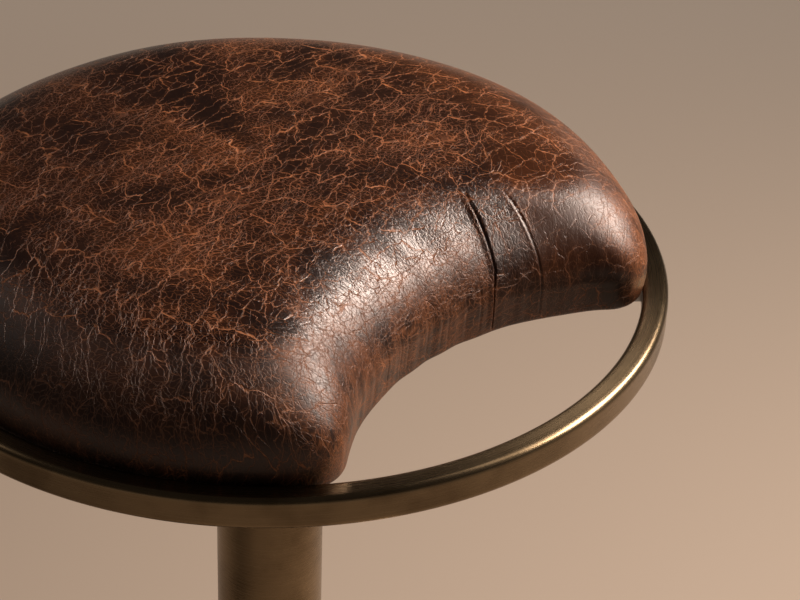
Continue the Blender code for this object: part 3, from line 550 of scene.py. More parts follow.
def pad_surface():
    """The pad's skin as a grid, with rows from the hem under the board over the ring and up to the top.

    Each row of the profile is a crescent drawn in by its inset, the rows after them close in on the middle,
    and the top is crowned by a paraboloid. Gives the points and each point's inset, height and share of the
    rim.
    """
    notch_inset, rim_inset, height = pad_profile()
    climb = np.clip(notch_inset, 0, PAD_SHOULDER_WIDTH)
    swell = CORNER_SWELL * (1 - np.exp(-climb / CORNER_REACH))
    corner = NOTCH_CORNER + swell - np.maximum(notch_inset - climb, 0)
    x, y = crescent(PAD_RADIUS - rim_inset, NOTCH_RADIUS + notch_inset, corner)
    rim = np.broadcast_to(rim_share(), (len(x) + MIDDLE_ROWS, x.shape[1]))
    inset = notch_inset[:, None] + (rim_inset - notch_inset)[:, None] * rim[0]
    level = np.broadcast_to(height[:, None], x.shape)

    share = np.linspace(0, 1, MIDDLE_ROWS + 2)[1:-1, None]
    x = np.concatenate([x, x[-1:] + (x[-1].mean() - x[-1:]) * share])
    y = np.concatenate([y, y[-1:] + (y[-1].mean() - y[-1:]) * share])
    inset = np.concatenate([inset, inset[-1:] + MIDDLE_INSET * share])
    level = np.concatenate([level, level[-1:] + 0 * share])
    x, y = relaxed(x, y, step(level, *RELAXED_LEVELS) * horn_share(x.shape[1], *RELAXED_COLUMNS))
    nearness = 1 - (np.hypot(x, y - PAD_CROWN_CENTRE) / PAD_RADIUS) ** 2
    climbed = (np.maximum(level, 0) / PAD_SHOULDER_HEIGHT) ** PAD_CROWN_POWER
    rise = PAD_CROWN * np.maximum(nearness, 0) * climbed
    points = np.stack([x, y, RING_TOP + level + rise], -1)
    points = softened(points, step(level, *SOFTENED_LEVELS) * horn_share(x.shape[1], *SOFTENED_COLUMNS))
    return points, inset, level, rim


def flat_hide(points, inset):
    """The pad's skin laid out flat, as a hide: the top as it is, and the side unrolled outwards.

    A point on the side lies at its column's shoulder plus the column's outward direction times the length of
    skin between them. Gives the flat places and that length.
    """
    shoulder = int(np.argmin(np.abs(inset[:, 0] - PAD_SHOULDER_WIDTH)))
    length = np.linalg.norm(np.diff(points, axis=0), axis=2)
    drop = np.zeros(points.shape[:2])
    drop[:shoulder] = np.cumsum(length[:shoulder][::-1], axis=0)[::-1]
    outward = points[shoulder - OUTWARD_ROWS, :, :2] - points[shoulder + OUTWARD_ROWS, :, :2]
    outward = outward / np.linalg.norm(outward, axis=1, keepdims=True)
    below = (np.arange(len(points)) < shoulder)[:, None, None]
    flat = np.where(below, points[shoulder, :, :2] + outward * drop[..., None], points[..., :2])
    return flat, drop


def settled(flat, points, free, rounds=600, pace=0.22):
    """Lays part of the hide out with little stretch.

    On rows and columns one stride apart, each point and its neighbours beside it, above it and across the
    corner move towards their true distance on the pad. Free says how far, and the moves are spread to the
    points between.
    """
    rows, columns = points.shape[:2]
    stride = SETTLED_STRIDE
    here, spot, share = flat[::stride, ::stride], points[::stride, ::stride], free[::stride, ::stride, None]

    def between(grid, down, right):
        return np.roll(grid[down:], -right, 1) - grid[:len(grid) - down]

    pairs = ((0, 1), (1, 0), (1, 1), (1, -1))
    lengths = [np.linalg.norm(between(spot, *pair), axis=2, keepdims=True) for pair in pairs]
    moved = here
    for _ in range(rounds):
        shift = np.zeros_like(moved)
        for (down, right), length in zip(pairs, lengths):
            way = between(moved, down, right)
            pull = way * (1 - length / np.maximum(np.linalg.norm(way, axis=2, keepdims=True), 1e-9)) / 2
            shift[:len(moved) - down] += pull
            shift[down:] -= np.roll(pull, right, 1)
        moved = moved + pace * share * shift
    row_gap = np.arange(rows)[:, None] - np.arange(0, rows, stride)
    column_gap = np.arange(columns)[:, None] - np.arange(0, columns, stride)
    column_gap = (column_gap + columns // 2) % columns - columns // 2
    down_share, right_share = (np.maximum(0, 1 - np.abs(gap) / stride) for gap in (row_gap, column_gap))
    return flat + np.einsum("ri,ijk,cj->rck", down_share, moved - here, right_share)


def outward_normals(points):
    """Unit normals of the pad's grid: the steps to the columns beside, crossed with the steps up the rows."""
    across = np.roll(points, -1, 1) - np.roll(points, 1, 1)
    up = np.gradient(points, axis=0)
    normal = np.cross(across, up)
    normal = normal / np.maximum(np.linalg.norm(normal, axis=2, keepdims=True), 1e-12)
    return normal if normal[-1, :, 2].mean() > 0 else -normal


def crease(skin, spots, depth, width, lip):
    """How far a crease across the notch's roll moves the skin out, and how deep in it a point lies, up to 1,
    which the leather takes as painted shade.

    Its line joins spots of (degrees round the notch, inset). It is a bell-shaped slit of that width, in
    degrees. The skin on its low-angle side swells slowly towards it to a lip. Both fade at its ends and on
    the rim.
    """
    bearing, inset, level, rim = skin
    degrees, insets = np.array(spots).T
    order = np.argsort(insets)
    off = bearing - np.interp(inset, insets[order], degrees[order])
    end = insets.max()
    fade = (1 - rim) * step(inset, end + CREASE_PAST, end - CREASE_BEFORE) * step(level, *CREASE_FOOT)
    slit = bell(off, width)
    ridge = step(off, LIP_START * width, LIP_TOP * width) * step(off, LIP_END * width, LIP_TOP * width)
    return fade * (lip * ridge - depth * slit), fade * slit


def creased(skin):
    """The moves of all creases and gathers, added up, and the painted shade in the gap that the two creases
    open, up to 1.
    """
    out, gap = crease(skin, *DEEP_CREASE)
    shallow_out, shallow_crease_shade = crease(skin, *SHALLOW_CREASE)
    out = out + shallow_out
    for place in GATHER_BEARINGS:
        line = [(place + turn, inset) for turn, inset in GATHER_LINE]
        out = out + crease(skin, line, *GATHER)[0]
    return out, np.maximum(gap, SHALLOW_CREASE_SHADE * shallow_crease_shade)


def uneven(x, y, skin):
    """Sine waves that move the skin in and out: along the notch's roll, round its wall and over the top."""
    bearing, inset, level, rim = skin
    roll = (1 - rim) * step(inset, 0.075, 0.035)
    wall = (1 - rim) * step(level, 0.040, 0.012) * step(level, -0.006, 0.0)
    above = step(level, 0.004, 0.020)
    out = roll * ROLL_WAVE * np.sin(bearing * 0.55 + 2.1 * np.sin(bearing * 0.13) + inset * 60)
    out += wall * WALL_WAVE * np.sin(bearing * 1.35 + 1.7 * np.sin(bearing * 0.31 + 0.6))
    out += wall * WALL_RIPPLE * np.sin(bearing * 2.9 + 1.1)
    out += above * TOP_WAVE * np.sin(31 * x + 13 * y + 0.7) * np.sin(27 * y - 19 * x + 1.9)
    return out


def rubbed_places(x, drop, skin):
    """Where use has marked the skin: rubbed tan, matte low down the side, and sleek over the +X horn's roll.

    Each is made of products of smooth steps. The notch's wall short of the deep crease, its corners and the
    +X rim are rubbed most.
    """
    bearing, inset, level, rim = skin
    wall = (1 - rim) * step(drop, *WORN_DROPS) * step(bearing, *WORN_BEARINGS)
    corner = 4 * rim * (1 - rim) * step(inset, 0.020, 0.006) * step(level, -0.002, 0.004)
    lit_rim = rim * step(inset, 0.032, 0.010) * step(x, 0.02, 0.09)
    other_rim = rim * step(level, 0.040, 0.024) * step(x, 0.02, -0.02)
    wear = wall + CORNER_WEAR * corner + LIT_RIM_WEAR * lit_rim + OTHER_RIM_WEAR * other_rim
    sleek = rolled(skin) * step(bearing, *SLEEK_BEARINGS)
    return np.stack([wear, step(drop, *DULL_DROPS), sleek], -1)


def rolled(skin):
    """1 on the pad's roll, with a smooth step to 0 over the shoulder and another one down the side."""
    inset, level = skin[1:3]
    return step(inset, *ROLL_INSETS) * step(level, *ROLL_LEVELS)


def leather_pad():
    """The pad's skin, moved along its normals by creases, waves and the horns' swelling.

    It carries what the leather reads: hide is the skin laid flat and the painted shade in the creases' gap,
    flow is the length round the notch, the length below the shoulder and the roll's gloss, and rubbed is
    where use has marked it.
    """
    points, inset, level, rim = pad_surface()
    x, y = points[..., 0], points[..., 1]
    bearing = np.degrees(np.arctan2(x, y + NOTCH_CENTRE))
    skin = (bearing, inset, level, rim)
    flat, drop = flat_hide(points, inset)
    free = step(inset, *SETTLED_INSETS) * horn_share(points.shape[1], *SETTLED_COLUMNS)
    flat = settled(flat, points, free)
    # gap says how much shade is painted into the creases' gaps
    out, gap = creased(skin)
    swell = HORN_SWELL * bell(np.hypot(np.abs(x) - HORN_X, y - HORN_Y), HORN_WIDTH)
    out = out + uneven(x, y, skin) + swell * step(level, *HORN_LEVELS)
    piece = surface("leather_pad", points + outward_normals(points) * out[..., None], poles=(True, True))

    hide = np.concatenate([flat, gap[..., None]], -1)
    flow = np.stack([np.radians(bearing) * NOTCH_RADIUS, drop, rolled(skin) * (1 - rim)], -1)
    rubbed = rubbed_places(x, drop, skin)
    for name, values in (("hide", hide), ("flow", flow), ("rubbed", rubbed)):
        values = np.concatenate([values.reshape(-1, 3), values[0].mean(0)[None], values[-1].mean(0)[None]])
        attribute = piece.data.attributes.new(name, "FLOAT_VECTOR", "POINT")
        attribute.data.foreach_set("vector", values.astype(np.float32).ravel())
    return piece


# Colours of the leather, from the painted shade of its creases to the tan of its cracks, and the way towards
# which painted shade darkens the skin
CREASE_SHADE_COLOUR = (0.004, 0.002, 0.0015)
GROUND_COLOUR = (0.0105, 0.0036, 0.0024)
BROWN_COLOUR = (0.036, 0.0110, 0.0046)
HAZE_COLOUR = (0.155, 0.046, 0.0125)
TAN_COLOUR = (0.54, 0.200, 0.077)
PAINTED_SHADE_WAY = (-0.67, 0.74)


def leather():
    """Pull-up leather: a dark ground, rubbed brown patches, and tan cracks that split and meet again.

    The cracks are borders of cells at three sizes, read at places that wander. The widest are read twice, at
    places that wander differently, so that each crack is a pair of strands.
    """
    graph = Graph("leather")
    hide, flow, rubbed = (graph.attribute(name) for name in ("hide", "flow", "rubbed"))
    wear, wall, sleek = rubbed.part(0), rubbed.part(1), rubbed.part(2)
    gloss, gap = flow.part(2), hide.part(2)
    patch = hide.noise(15, 3, 0.6)
    worn = hide.noise(38, 4, 0.65)
    gaps = hide.noise(85, 3, 0.65)
    loose = hide.wander(45, 0.010).wander(170, 0.0034)
    one_strand = loose.wander(760, 0.0012, 3)
    other_strand = loose.wander(400, 0.0028, 3)

    vein_size, vein_turn = (0.027, 0.0094, 1.0), math.radians(18)
    net_size, net_turn = (0.0082, 0.0046, 1.0), math.radians(26)
    pull_size, pull_turn = (0.0052, 0.024, 1.0), math.radians(10)
    wrinkle_size = (0.0017, 0.0062, 1.0)
    veins = one_strand.stretched(vein_size, vein_turn).edges()
    twins = other_strand.stretched(vein_size, vein_turn).edges()
    net = other_strand.stretched(net_size, net_turn).edges()
    mesh = one_strand.edges(360)
    grain = one_strand.edges(620)
    pulls = flow.wander(110, 0.005).wander(420, 0.0016, 2).stretched(pull_size, pull_turn).edges()
    wrinkles = flow.wander(300, 0.0020).wander(1100, 0.0006).stretched(wrinkle_size).edges()
    vein = veins.between(0.015, 0.003) * gaps.between(0.26, 0.60)
    twin = twins.between(0.014, 0.003) * worn.between(0.30, 0.60)
    strand = net.between(0.036, 0.008) * (worn + 0.4 * wear).between(0.30, 0.66)
    thread = mesh.between(0.080, 0.02) * (patch + 0.4 * wear).between(0.32, 0.66)
    pulled = gloss * (1.0 - 0.6 * sleek)
    pull = pulls.between(0.026, 0.002) * pulled * gaps.between(0.20, 0.50)
    glow = veins.between(0.20, 0.0).at_least(twins.between(0.20, 0.0)) * worn.between(0.30, 0.75)
    channel = grain.between(0.24, 0.04)
    rub = wear * gaps.between(0.30, 0.62) * (0.25 + 0.75 * channel)
    lines = (vein + 0.80 * twin + 0.66 * strand + 0.36 * thread + 0.70 * pull + 0.36 * rub).at_most(1.0)

    ground = graph.mix(worn.between(0.35, 0.80), GROUND_COLOUR, BROWN_COLOUR)
    stain = (patch.between(0.42, 0.80) * 0.40 + 0.26 * glow + 0.60 * rub + 0.22 * sleek).at_most(1.0)
    haze = graph.mix(stain, ground, HAZE_COLOUR)
    tan = lines * (0.95 - 0.28 * gloss - 0.35 * wall) * (1.0 - 0.1 * sleek)
    tanned = graph.mix(tan, haze, TAN_COLOUR)
    # Painted shade: the skin darkens towards the side of the pad away from the lamps, as if light fell off
    # there
    painted_side_shade = (hide.part(0) * PAINTED_SHADE_WAY[0] + hide.part(1) * PAINTED_SHADE_WAY[1]).between(0.02, 0.10)
    side_shaded_colour = graph.mix(0.45 * painted_side_shade, tanned, GROUND_COLOUR)
    # Painted shade: the creases' gaps are painted nearly black, where shade falls in them
    colour = graph.mix(gap.at_most(1.0), side_shaded_colour, CREASE_SHADE_COLOUR)

    fine = wrinkles.between(0.20, 0.0) * 0.11 * pulled
    cracks = (vein + twin) * 0.26 + strand * 0.24 + thread * 0.15
    pores = hide.noise(1300, 1, 0.5) * 0.08
    height = pores - cracks * (1.0 - 0.5 * sleek - 0.3 * gloss) - pull * 0.50 - fine
    rough = 0.26 - 0.05 * gloss - 0.05 * sleek + 0.12 * lines + 0.08 * (worn - 0.5) + 0.16 * wall
    return graph.shade(
        Base_Color=colour,
        Roughness=rough,
        Normal=graph.bump(height, distance=0.0006, strength=0.8),
        Specular_IOR_Level=0.66,
        Specular_Tint=(1.0, 0.89, 0.85, 1.0),
    )


# Colours of the brass: clean, stained and in the brush lines
BRASS_COLOUR = (0.232, 0.168, 0.098)
STAINED_COLOUR = (0.142, 0.098, 0.054)
BRUSHED_COLOUR = (0.32, 0.23, 0.135)


def brass(name):
    """Antique brass with fine brush lines round the axis.

    The lines are noise that changes fast along Z and with the radius, and slowly round the axis.
    """
    graph = Graph(name)
    place = graph.place()
    x, y = place.part(0), place.part(1)
    radius = (x * x + y * y) ** 0.5
    along = place.stretched((0.05, 0.05, 0.0004))
    lines = along.noise(1.0, 2, 0.6, space="4D", W=radius * 2500.0)
    stain = place.noise(22, 3, 0.6, space="3D")
    tint = graph.mix(stain.between(0.40, 0.70), BRASS_COLOUR, STAINED_COLOUR)
    colour = graph.mix(lines.between(0.40, 0.75) * 0.30, tint, BRUSHED_COLOUR)
    rough = 0.22 + 0.10 * lines + 0.10 * (stain - 0.5)
    return graph.shade(
        Base_Color=colour,
        Metallic=1.0,
        Roughness=rough,
        Normal=graph.bump(lines, distance=0.000008, strength=0.5),
        Anisotropic=0.75,
        Anisotropic_Rotation=0.25,
    )


def plain(name, colour, roughness, metallic=0.0, scale=400, depth=0.0001):
    """A plain finish with a fine grain."""
    graph = Graph(name)
    grain = graph.place().noise(scale, 3, 0.6, space="3D")
    darker = tuple(0.82 * c for c in colour)
    lighter = tuple(min(1.12 * c, 1.0) for c in colour)
    return graph.shade(
        Base_Color=graph.mix(grain, darker, lighter),
        Roughness=roughness + 0.12 * (grain - 0.5),
        Metallic=metallic,
        Normal=graph.bump(grain, depth),
    )


# Pieces of metal, rubber and cloth
def ball(name, centre, radius, rows=16, columns=32):
    """A sphere: circles of radius r sin u at height -r cos u, between two poles."""
    u = np.linspace(0, np.pi, rows + 1)[1:-1, None]
    angle = np.linspace(0, 2 * np.pi, columns, endpoint=False)
    unit = np.stack([np.sin(u) * np.cos(angle), np.sin(u) * np.sin(angle), -np.cos(u) + 0 * angle], -1)
    return surface(name, radius * unit + np.array(centre), poles=(True, True))


def rod(name, bearing, inner, outer, height, radius, columns=64):
    """A level round bar that points outwards from the axis.

    It is a row of circles of one radius, with a small rounding at both ends.
    """
    turn = np.linspace(0, np.pi / 2, 6)
    start = inner + ROD_EDGE - ROD_EDGE * np.cos(turn)
    end = outer - ROD_EDGE + ROD_EDGE * np.sin(turn)
    along = np.concatenate([start, end])[:, None]
    ring = radius - ROD_EDGE + ROD_EDGE * np.concatenate([np.sin(turn), np.cos(turn)])[:, None]
    angle = np.linspace(0, 2 * np.pi, columns, endpoint=False)
    side, up = ring * np.cos(angle), ring * np.sin(angle)
    cosine, sine = math.cos(math.radians(bearing)), math.sin(math.radians(bearing))
    points = np.stack([along * cosine - side * sine, along * sine + side * cosine, height + up], -1)
    return surface(name, points, poles=(True, True))


def flat_plate(name, outline, bottom, top, edge):
    """A plate that fills a star-shaped outline of (columns, 2).

    Its rows run from the middle below to the middle above. The outline is drawn in along a quarter circle at
    both edges, and once more towards each middle.
    """
    turn = np.linspace(0, np.pi / 2, 5)
    towards_middle = [0.02]
    low_inset, high_inset = edge - edge * np.sin(turn), edge - edge * np.cos(turn)
    inset = np.concatenate([towards_middle, low_inset, high_inset, towards_middle])[:, None, None]
    low_height, high_height = bottom + edge - edge * np.cos(turn), top - edge + edge * np.sin(turn)
    height = np.concatenate([[bottom], low_height, high_height, [top]])
    reach = np.linalg.norm(outline, axis=1)[None, :, None]
    plan = outline[None] * (1 - inset / reach)
    points = np.concatenate([plan, np.broadcast_to(height[:, None, None], (*plan.shape[:2], 1))], 2)
    piece = surface(name, points, poles=(True, True))
    piece.data.set_sharp_from_angle(angle=CUT_SHARP)
    return piece


def spider_outline(arm_end, half_width, hub):
    """Four arms on a hub, as a radius for each bearing.

    Beside an arm the radius is half its width over the sine of the bearing from the arm's middle, but no more
    than the arm's end and no less than the hub.
    """
    quarter = np.pi / 2
    tip = math.asin(half_width / arm_end)
    root = math.asin(half_width / hub)
    part = np.concatenate([
        np.linspace(-tip, tip, 17),
        np.linspace(tip, root, 24)[1:],
        np.linspace(root, quarter - root, 12)[1:-1],
        np.linspace(quarter - root, quarter - tip, 24)[:-1],
    ])
    off = np.abs((part + quarter / 2) % quarter - quarter / 2)
    radius = np.maximum(np.minimum(half_width / np.maximum(np.sin(off), 1e-6), arm_end), hub)
    angle = (quarter / 2 + quarter * np.arange(4)[:, None] + part).ravel()
    return np.tile(radius, 4)[:, None] * np.stack([np.cos(angle), np.sin(angle)], -1)


def dust_sheet():
    """The black cloth under the board, and its cut edge.

    It is a crescent, drawn in towards its middle row by row, which hangs a little between the spider's arms.
    """
    share = np.linspace(0, 1, 14)[:-1, None]
    one = np.ones(1)
    x, y = crescent(DUST_RADIUS * one, DUST_NOTCH * one, DUST_CORNER * one)
    x, y = x + (x.mean() - x) * share, y + (y.mean() - y) * share
    arm = np.abs(np.sin(2 * np.arctan2(y, x)))
    beyond_hub = step(np.hypot(x, y), SPIDER_HUB, SPIDER_HUB + SPIDER_ARM)
    sag = DUST_SAG * step(arm, 0.92, 0.45) * beyond_hub * step(share, 0.0, 0.25)
    under = np.stack([x, y, DUST_HEIGHT - sag], -1)[::-1]
    above = np.stack([x, y, DUST_HEIGHT + DUST_THICKNESS - sag], -1)
    sheet = surface("dust_sheet", np.concatenate([under, above]), poles=(True, True))
    return sheet, np.stack([x[0], y[0]], -1)


def enclosed(outline):
    """The area inside an outline: half the sum of each point's cross product with the next one."""
    ahead = np.roll(outline, -1, axis=0)
    return abs((outline[:, 0] * ahead[:, 1] - ahead[:, 0] * outline[:, 1]).sum()) / 2


def skirt_loop():
    """The skirt's wall: a cup with its mouth down, a bore for the spindle and every corner rounded off."""
    inner, ceiling = SKIRT_RADIUS - SKIRT_WALL, SKIRT_TOP - SKIRT_WALL
    return eased([
        (SPINDLE_BORE, SKIRT_TOP, 0.0003),
        (SPINDLE_BORE, ceiling, 0.0003),
        (inner, ceiling, 0.0004),
        (inner, SKIRT_BOTTOM, 0.0005),
        (SKIRT_RADIUS, SKIRT_BOTTOM, 0.0006),
        (SKIRT_RADIUS, SKIRT_TOP, 0.0013),
    ])


def dome_loop():
    """The base cover's wall: a dome that rounds over its edge and drops to the rim.

    The dome's height falls with a power of the radius.
    """
    radius = np.linspace(COLUMN_RADIUS + CLEARANCE, BASE_RADIUS - BASE_EDGE, 48)
    height = BASE_EDGE_HEIGHT + BASE_RISE * (1 - (radius / BASE_RADIUS) ** BASE_POWER)
    turn = np.linspace(0, np.pi / 2, 9)
    shoulder = height[-1] - BASE_EDGE
    edge_radius = BASE_RADIUS - BASE_EDGE + BASE_EDGE * np.sin(turn)
    edge = np.stack([edge_radius, shoulder + BASE_EDGE * np.cos(turn)], 1)
    drop = np.linspace(shoulder, BASE_RIM, 5)[1:]
    outside = np.stack([np.full(len(drop), BASE_RADIUS), drop], 1)
    inside = np.stack([np.full(len(drop), BASE_RADIUS - BASE_WALL), drop[::-1]], 1)
    under = np.stack([radius, height - BASE_WALL], 1)[::-1]
    return np.concatenate([np.stack([radius, height], 1), edge, outside, inside, under])


def collar_loop():
    """The collar on the base: a quarter of an ellipse sweeps in from its foot to its rounded lip."""
    turn = np.linspace(0, np.pi / 2, 24)
    radius = COLLAR_FOOT_RADIUS - (COLLAR_FOOT_RADIUS - COLLAR_LIP_RADIUS) * np.sin(turn)
    rise = (COLLAR_HEIGHT - COLLAR_FOOT_HEIGHT) * (1 - np.cos(turn))
    height = COLLAR_BOTTOM + COLLAR_FOOT_HEIGHT + rise
    round_off = np.linspace(0, np.pi / 2, 6)
    lip_radius = COLLAR_LIP_RADIUS - COLLAR_LIP_EDGE + COLLAR_LIP_EDGE * np.cos(round_off)
    lip_height = height[-1] - COLLAR_LIP_EDGE + COLLAR_LIP_EDGE * np.sin(round_off)
    foot = [
        (COLLAR_FOOT_RADIUS - COLLAR_FOOT_EDGE, COLLAR_BOTTOM),
        (COLLAR_FOOT_RADIUS, COLLAR_BOTTOM + COLLAR_FOOT_EDGE),
    ]
    bore = COLUMN_RADIUS + CLEARANCE
    sweep = np.stack([radius, height], 1)[:-3]
    lip = np.stack([lip_radius, lip_height], 1)
    return np.concatenate([[(bore, COLLAR_BOTTOM)], foot, sweep, lip, [(bore, height[-1])]])


def hub_loop(middle):
    """The footrest hub's wall: a ring with small roundings at its bore and large ones outside."""
    bore = COLUMN_RADIUS + CLEARANCE
    low, high = middle - HUB_HEIGHT / 2, middle + HUB_HEIGHT / 2
    return eased([
        (bore, low, BORE_EDGE),
        (HUB_RADIUS, low, HUB_EDGE),
        (HUB_RADIUS, high, HUB_EDGE),
        (bore, high, BORE_EDGE),
    ])


def bored(piece, bearings, height, radius, inner, outer):
    """Cuts round holes into a turned piece, level and towards its axis."""
    for bearing in bearings:
        drill = rod("drill", bearing, inner, outer, height, radius, DRILL_SEGMENTS)
        boolean = piece.modifiers.new("hole", "BOOLEAN")
        boolean.operation, boolean.solver, boolean.object = "DIFFERENCE", "EXACT", drill
        evaluated = piece.evaluated_get(bpy.context.evaluated_depsgraph_get())
        mesh = bpy.data.meshes.new_from_object(evaluated)
        piece.modifiers.clear()
        piece.data = mesh
        bpy.data.objects.remove(drill)
    piece.data.shade_smooth()
    piece.data.set_sharp_from_angle(angle=CUT_SHARP)
    return piece


def smooth_copy(node):
    """A merged copy of a CAD node's mesh, with normals of its own, smooth but for its edges."""
    copy = bpy.data.objects.new(node + "_smooth", frame["nodes"][node].data.copy())
    bpy.context.scene.collection.objects.link(copy)
    weld = copy.modifiers.new("Weld", "WELD")
    weld.merge_threshold = WELD_DISTANCE
    evaluated = copy.evaluated_get(bpy.context.evaluated_depsgraph_get())
    copy.data = bpy.data.meshes.new_from_object(evaluated)
    copy.modifiers.clear()
    if "custom_normal" in copy.data.attributes:
        copy.data.attributes.remove(copy.data.attributes["custom_normal"])
    copy.data.shade_smooth()
    copy.data.set_sharp_from_angle(angle=COPY_SHARP)
    return copy


finishes = {
    "antique_brass": brass("antique_brass"),
    "leather": leather(),
    "plywood": plain("plywood", (0.56, 0.40, 0.24), roughness=0.60, scale=180),
    "black_cloth": plain("black_cloth", (0.022, 0.021, 0.020), roughness=0.90, scale=1400, depth=0.0002),
    "bearing_bronze": plain("bearing_bronze", (0.45, 0.27, 0.12), roughness=0.32, metallic=1.0),
    "steel": plain("steel", (0.42, 0.42, 0.43), roughness=0.34, metallic=1.0),
    "cast_iron": plain("cast_iron", (0.05, 0.05, 0.05), roughness=0.60, scale=700, depth=0.0003),
    "rubber": plain("rubber", (0.022, 0.022, 0.022), roughness=0.75, scale=900),
}
slot_of = {part["node"]: part["material_slot"] for part in frame["record"]["subparts"]}
body_of = {node: body for body, nodes in frame["record"]["behaviour"]["bodies"].items() for node in nodes}
done = set()


def fitted(piece, *nodes):
    """Puts a piece in the place of CAD nodes, with the first one's finish and body."""
    slot, body = slot_of[nodes[0]], body_of[nodes[0]]
    piece.data.materials.clear()
    piece.data.materials.append(finishes[slot])
    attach(piece, body)
    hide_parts(*nodes)
    done.update(nodes)
    return piece


# The seat
pad = fitted(leather_pad(), "leather_cover", "foam_pad")
ring_bore = RING_RADIUS - BAR_WIDTH
bar = box_loop(ring_bore, RING_RADIUS, RING_TOP - BAR_HEIGHT, RING_TOP, RING_EDGE)
fitted(lathe("ring", bar, RING_SEGMENTS), "seat_ring")
arms = spider_outline(ring_bore + ARM_BITE, SPIDER_ARM / 2, SPIDER_HUB)
fitted(flat_plate("spider", arms, SPIDER_TOP - SPIDER_THICKNESS, SPIDER_TOP, SPIDER_EDGE), "seat_spider")
cloth, cut_edge = dust_sheet()
fitted(cloth, "dust_cover")
cut_area = enclosed(cut_edge)
fitted(lathe("skirt", skirt_loop(), TUBE_SEGMENTS), "swivel_skirt")

# The stand
tube = box_loop(COLUMN_RADIUS - COLUMN_WALL, COLUMN_RADIUS, COLUMN_BOTTOM, COLUMN_TOP, COLUMN_EDGE)
fitted(lathe("column", tube, TUBE_SEGMENTS), "column_tube")
footrest_bore = FOOTREST_RADIUS - BAR_WIDTH
foot_bar = box_loop(footrest_bore, FOOTREST_RADIUS, FOOTREST_TOP - BAR_HEIGHT, FOOTREST_TOP, BAR_EDGE)
fitted(lathe("footrest_bar", foot_bar, FOOTREST_SEGMENTS), "footrest_ring")
footrest_middle = FOOTREST_TOP - BAR_HEIGHT / 2
hub = lathe("hub", hub_loop(footrest_middle), HUB_SEGMENTS)
drill_from, drill_to = COLUMN_RADIUS - DRILL_INSIDE, HUB_RADIUS + DRILL_OUTSIDE
hub = bored(hub, HUB_HOLE_BEARINGS, footrest_middle, HUB_HOLE_RADIUS, drill_from, drill_to)
fitted(hub, "footrest_hub")
for number, bearing in enumerate(SPOKE_BEARINGS, 1):
    start, end = HUB_RADIUS - SPOKE_IN_HUB, footrest_bore + SPOKE_IN_RING
    spoke = rod(f"spoke_{number}", bearing, start, end, footrest_middle, SPOKE_RADIUS)
    fitted(spoke, f"footrest_spoke_{number}")
fitted(lathe("cover", dome_loop(), BASE_SEGMENTS), "base_cover")
fitted(lathe("collar", collar_loop(), TUBE_SEGMENTS), "base_collar")
tread = box_loop(FLOOR_RING_INNER, FLOOR_RING_OUTER, 0.0, FLOOR_RING_HEIGHT, TREAD_EDGE)
fitted(lathe("tread", tread, TUBE_SEGMENTS), "floor_ring")

# The bearing's balls, and every other piece as it is
for number in range(1, BALL_COUNT + 1):
    low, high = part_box(f"bearing_ball_{number}")
    centre = [(a + b) / 2 for a, b in zip(low, high)]
    fitted(ball(f"ball_{number}", centre, (high[2] - low[2]) / 2), f"bearing_ball_{number}")
for node in sorted(set(frame["nodes"]) - done):
    fitted(smooth_copy(node), node)

# The studio: a plain floor, whose far part glows a little, warm softboxes, and a faint light from all round
FLOOR_COLOUR = (0.62, 0.50, 0.40)
FLOOR_ROUGHNESS = 0.8
FLOOR_REACH = 60
GLOW_SHARE = 0.34
GLOW_START, GLOW_END = 0.7, 2.6
WARM = (1.0, 0.87, 0.77)
ROOM_LIGHT = 0.03
POOL_SPREAD = math.radians(80)


def floor_finish():
    """A plain floor that glows with a share of its own colour far from the stool."""
    graph = Graph("floor")
    place = graph.place()
    radius = (place.part(0) ** 2.0 + place.part(1) ** 2.0) ** 0.5
    far_glow = tuple(GLOW_SHARE * c for c in FLOOR_COLOUR)
    glow = graph.mix(radius.between(GLOW_START, GLOW_END), (0.0, 0.0, 0.0), far_glow)
    return graph.shade(
        Base_Color=FLOOR_COLOUR, Roughness=FLOOR_ROUGHNESS, Emission_Color=glow, Emission_Strength=1.0
    )


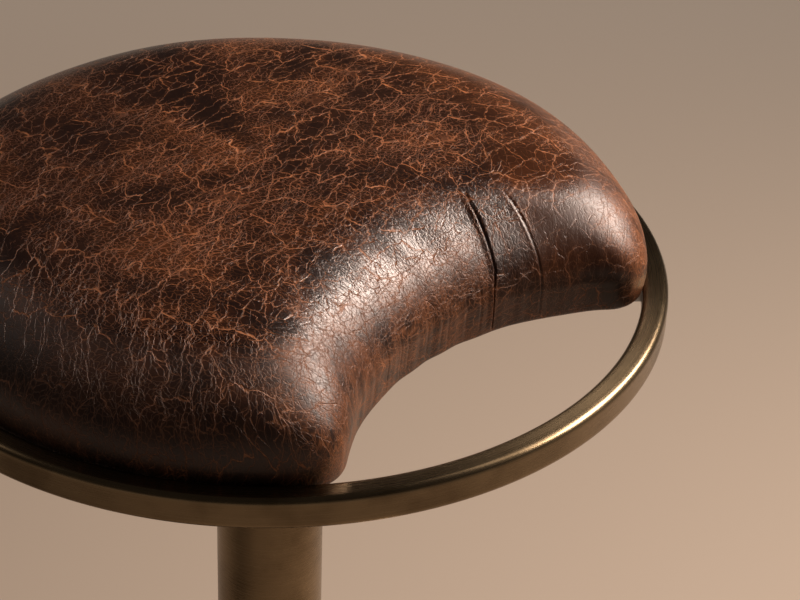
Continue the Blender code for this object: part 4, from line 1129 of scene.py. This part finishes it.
floor_mesh = bpy.data.meshes.new("floor")
signs = ((-1, -1), (1, -1), (1, 1), (-1, 1))
floor_mesh.from_pydata([(FLOOR_REACH * a, FLOOR_REACH * b, 0) for a, b in signs], [], [(0, 1, 2, 3)])
floor_mesh.materials.append(floor_finish())
floor = bpy.data.objects.new("floor", floor_mesh)
bpy.context.scene.collection.objects.link(floor)
floor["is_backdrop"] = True


def softbox(name, target, azimuth, elevation, distance, size, power):
    """A warm rectangular light that looks at a target from a direction in degrees. The power is in watts."""
    turn, lift = math.radians(azimuth), math.radians(elevation)
    level = math.cos(lift)
    direction = Vector((math.cos(turn) * level, math.sin(turn) * level, math.sin(lift)))
    light = bpy.data.lights.new(name, "AREA")
    light.shape = "RECTANGLE"
    light.size, light.size_y = size
    light.energy = power
    light.color = WARM
    lamp = bpy.data.objects.new(name, light)
    bpy.context.scene.collection.objects.link(lamp)
    lamp.location = Vector(target) + direction * distance
    lamp.rotation_euler = (-direction).to_track_quat("-Z", "Y").to_euler()
    lamp.visible_camera = False
    return lamp


softbox(
    "key", target=(0.0, -0.05, 0.74), azimuth=-6, elevation=38, distance=1.4, size=(0.46, 0.48), power=16
)
softbox(
    "upper", target=(0.05, -0.08, 0.74), azimuth=-8, elevation=56, distance=1.5, size=(0.9, 0.45), power=2.0
)
softbox(
    "behind", target=(0.0, 0.0, 0.72), azimuth=112, elevation=40, distance=1.8, size=(1.0, 1.0), power=1.6
)
softbox(
    "side", target=(0.10, -0.10, 0.74), azimuth=-32, elevation=42, distance=1.4, size=(0.58, 0.38), power=17
)
pool = softbox(
    "pool", target=(1.15, -0.50, 0.0), azimuth=0, elevation=90, distance=1.0, size=(0.9, 0.9), power=0.6
)
pool.data.spread = POOL_SPREAD
world = bpy.data.worlds.new("studio")
world.use_nodes = True
world.node_tree.nodes["Background"].inputs["Color"].default_value = (*WARM, 1.0)
world.node_tree.nodes["Background"].inputs["Strength"].default_value = ROOM_LIGHT
bpy.context.scene.world = world

# The camera: place in metres, the way it looks, roll in degrees, lens and sensor width in millimetres
CAMERA_PLACE = (-0.6972, -0.7212, 1.3193)
CAMERA_LOOK = (0.6253, 0.5670, -0.5363)
CAMERA_ROLL = 2.13
CAMERA_LENS = 105.09
CAMERA_SENSOR = 36.0
camera_data = bpy.data.cameras.new("camera")
camera_data.lens = CAMERA_LENS
camera_data.sensor_width = CAMERA_SENSOR
camera = bpy.data.objects.new("camera", camera_data)
bpy.context.scene.collection.objects.link(camera)
camera.location = CAMERA_PLACE
look = Vector(CAMERA_LOOK).to_track_quat("-Z", "Y").to_matrix().to_4x4()
camera.rotation_euler = (look @ Matrix.Rotation(math.radians(CAMERA_ROLL), 4, "Z")).to_euler()
bpy.context.scene.camera = camera
bpy.context.scene.view_settings.view_transform = "Standard"

low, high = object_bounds()
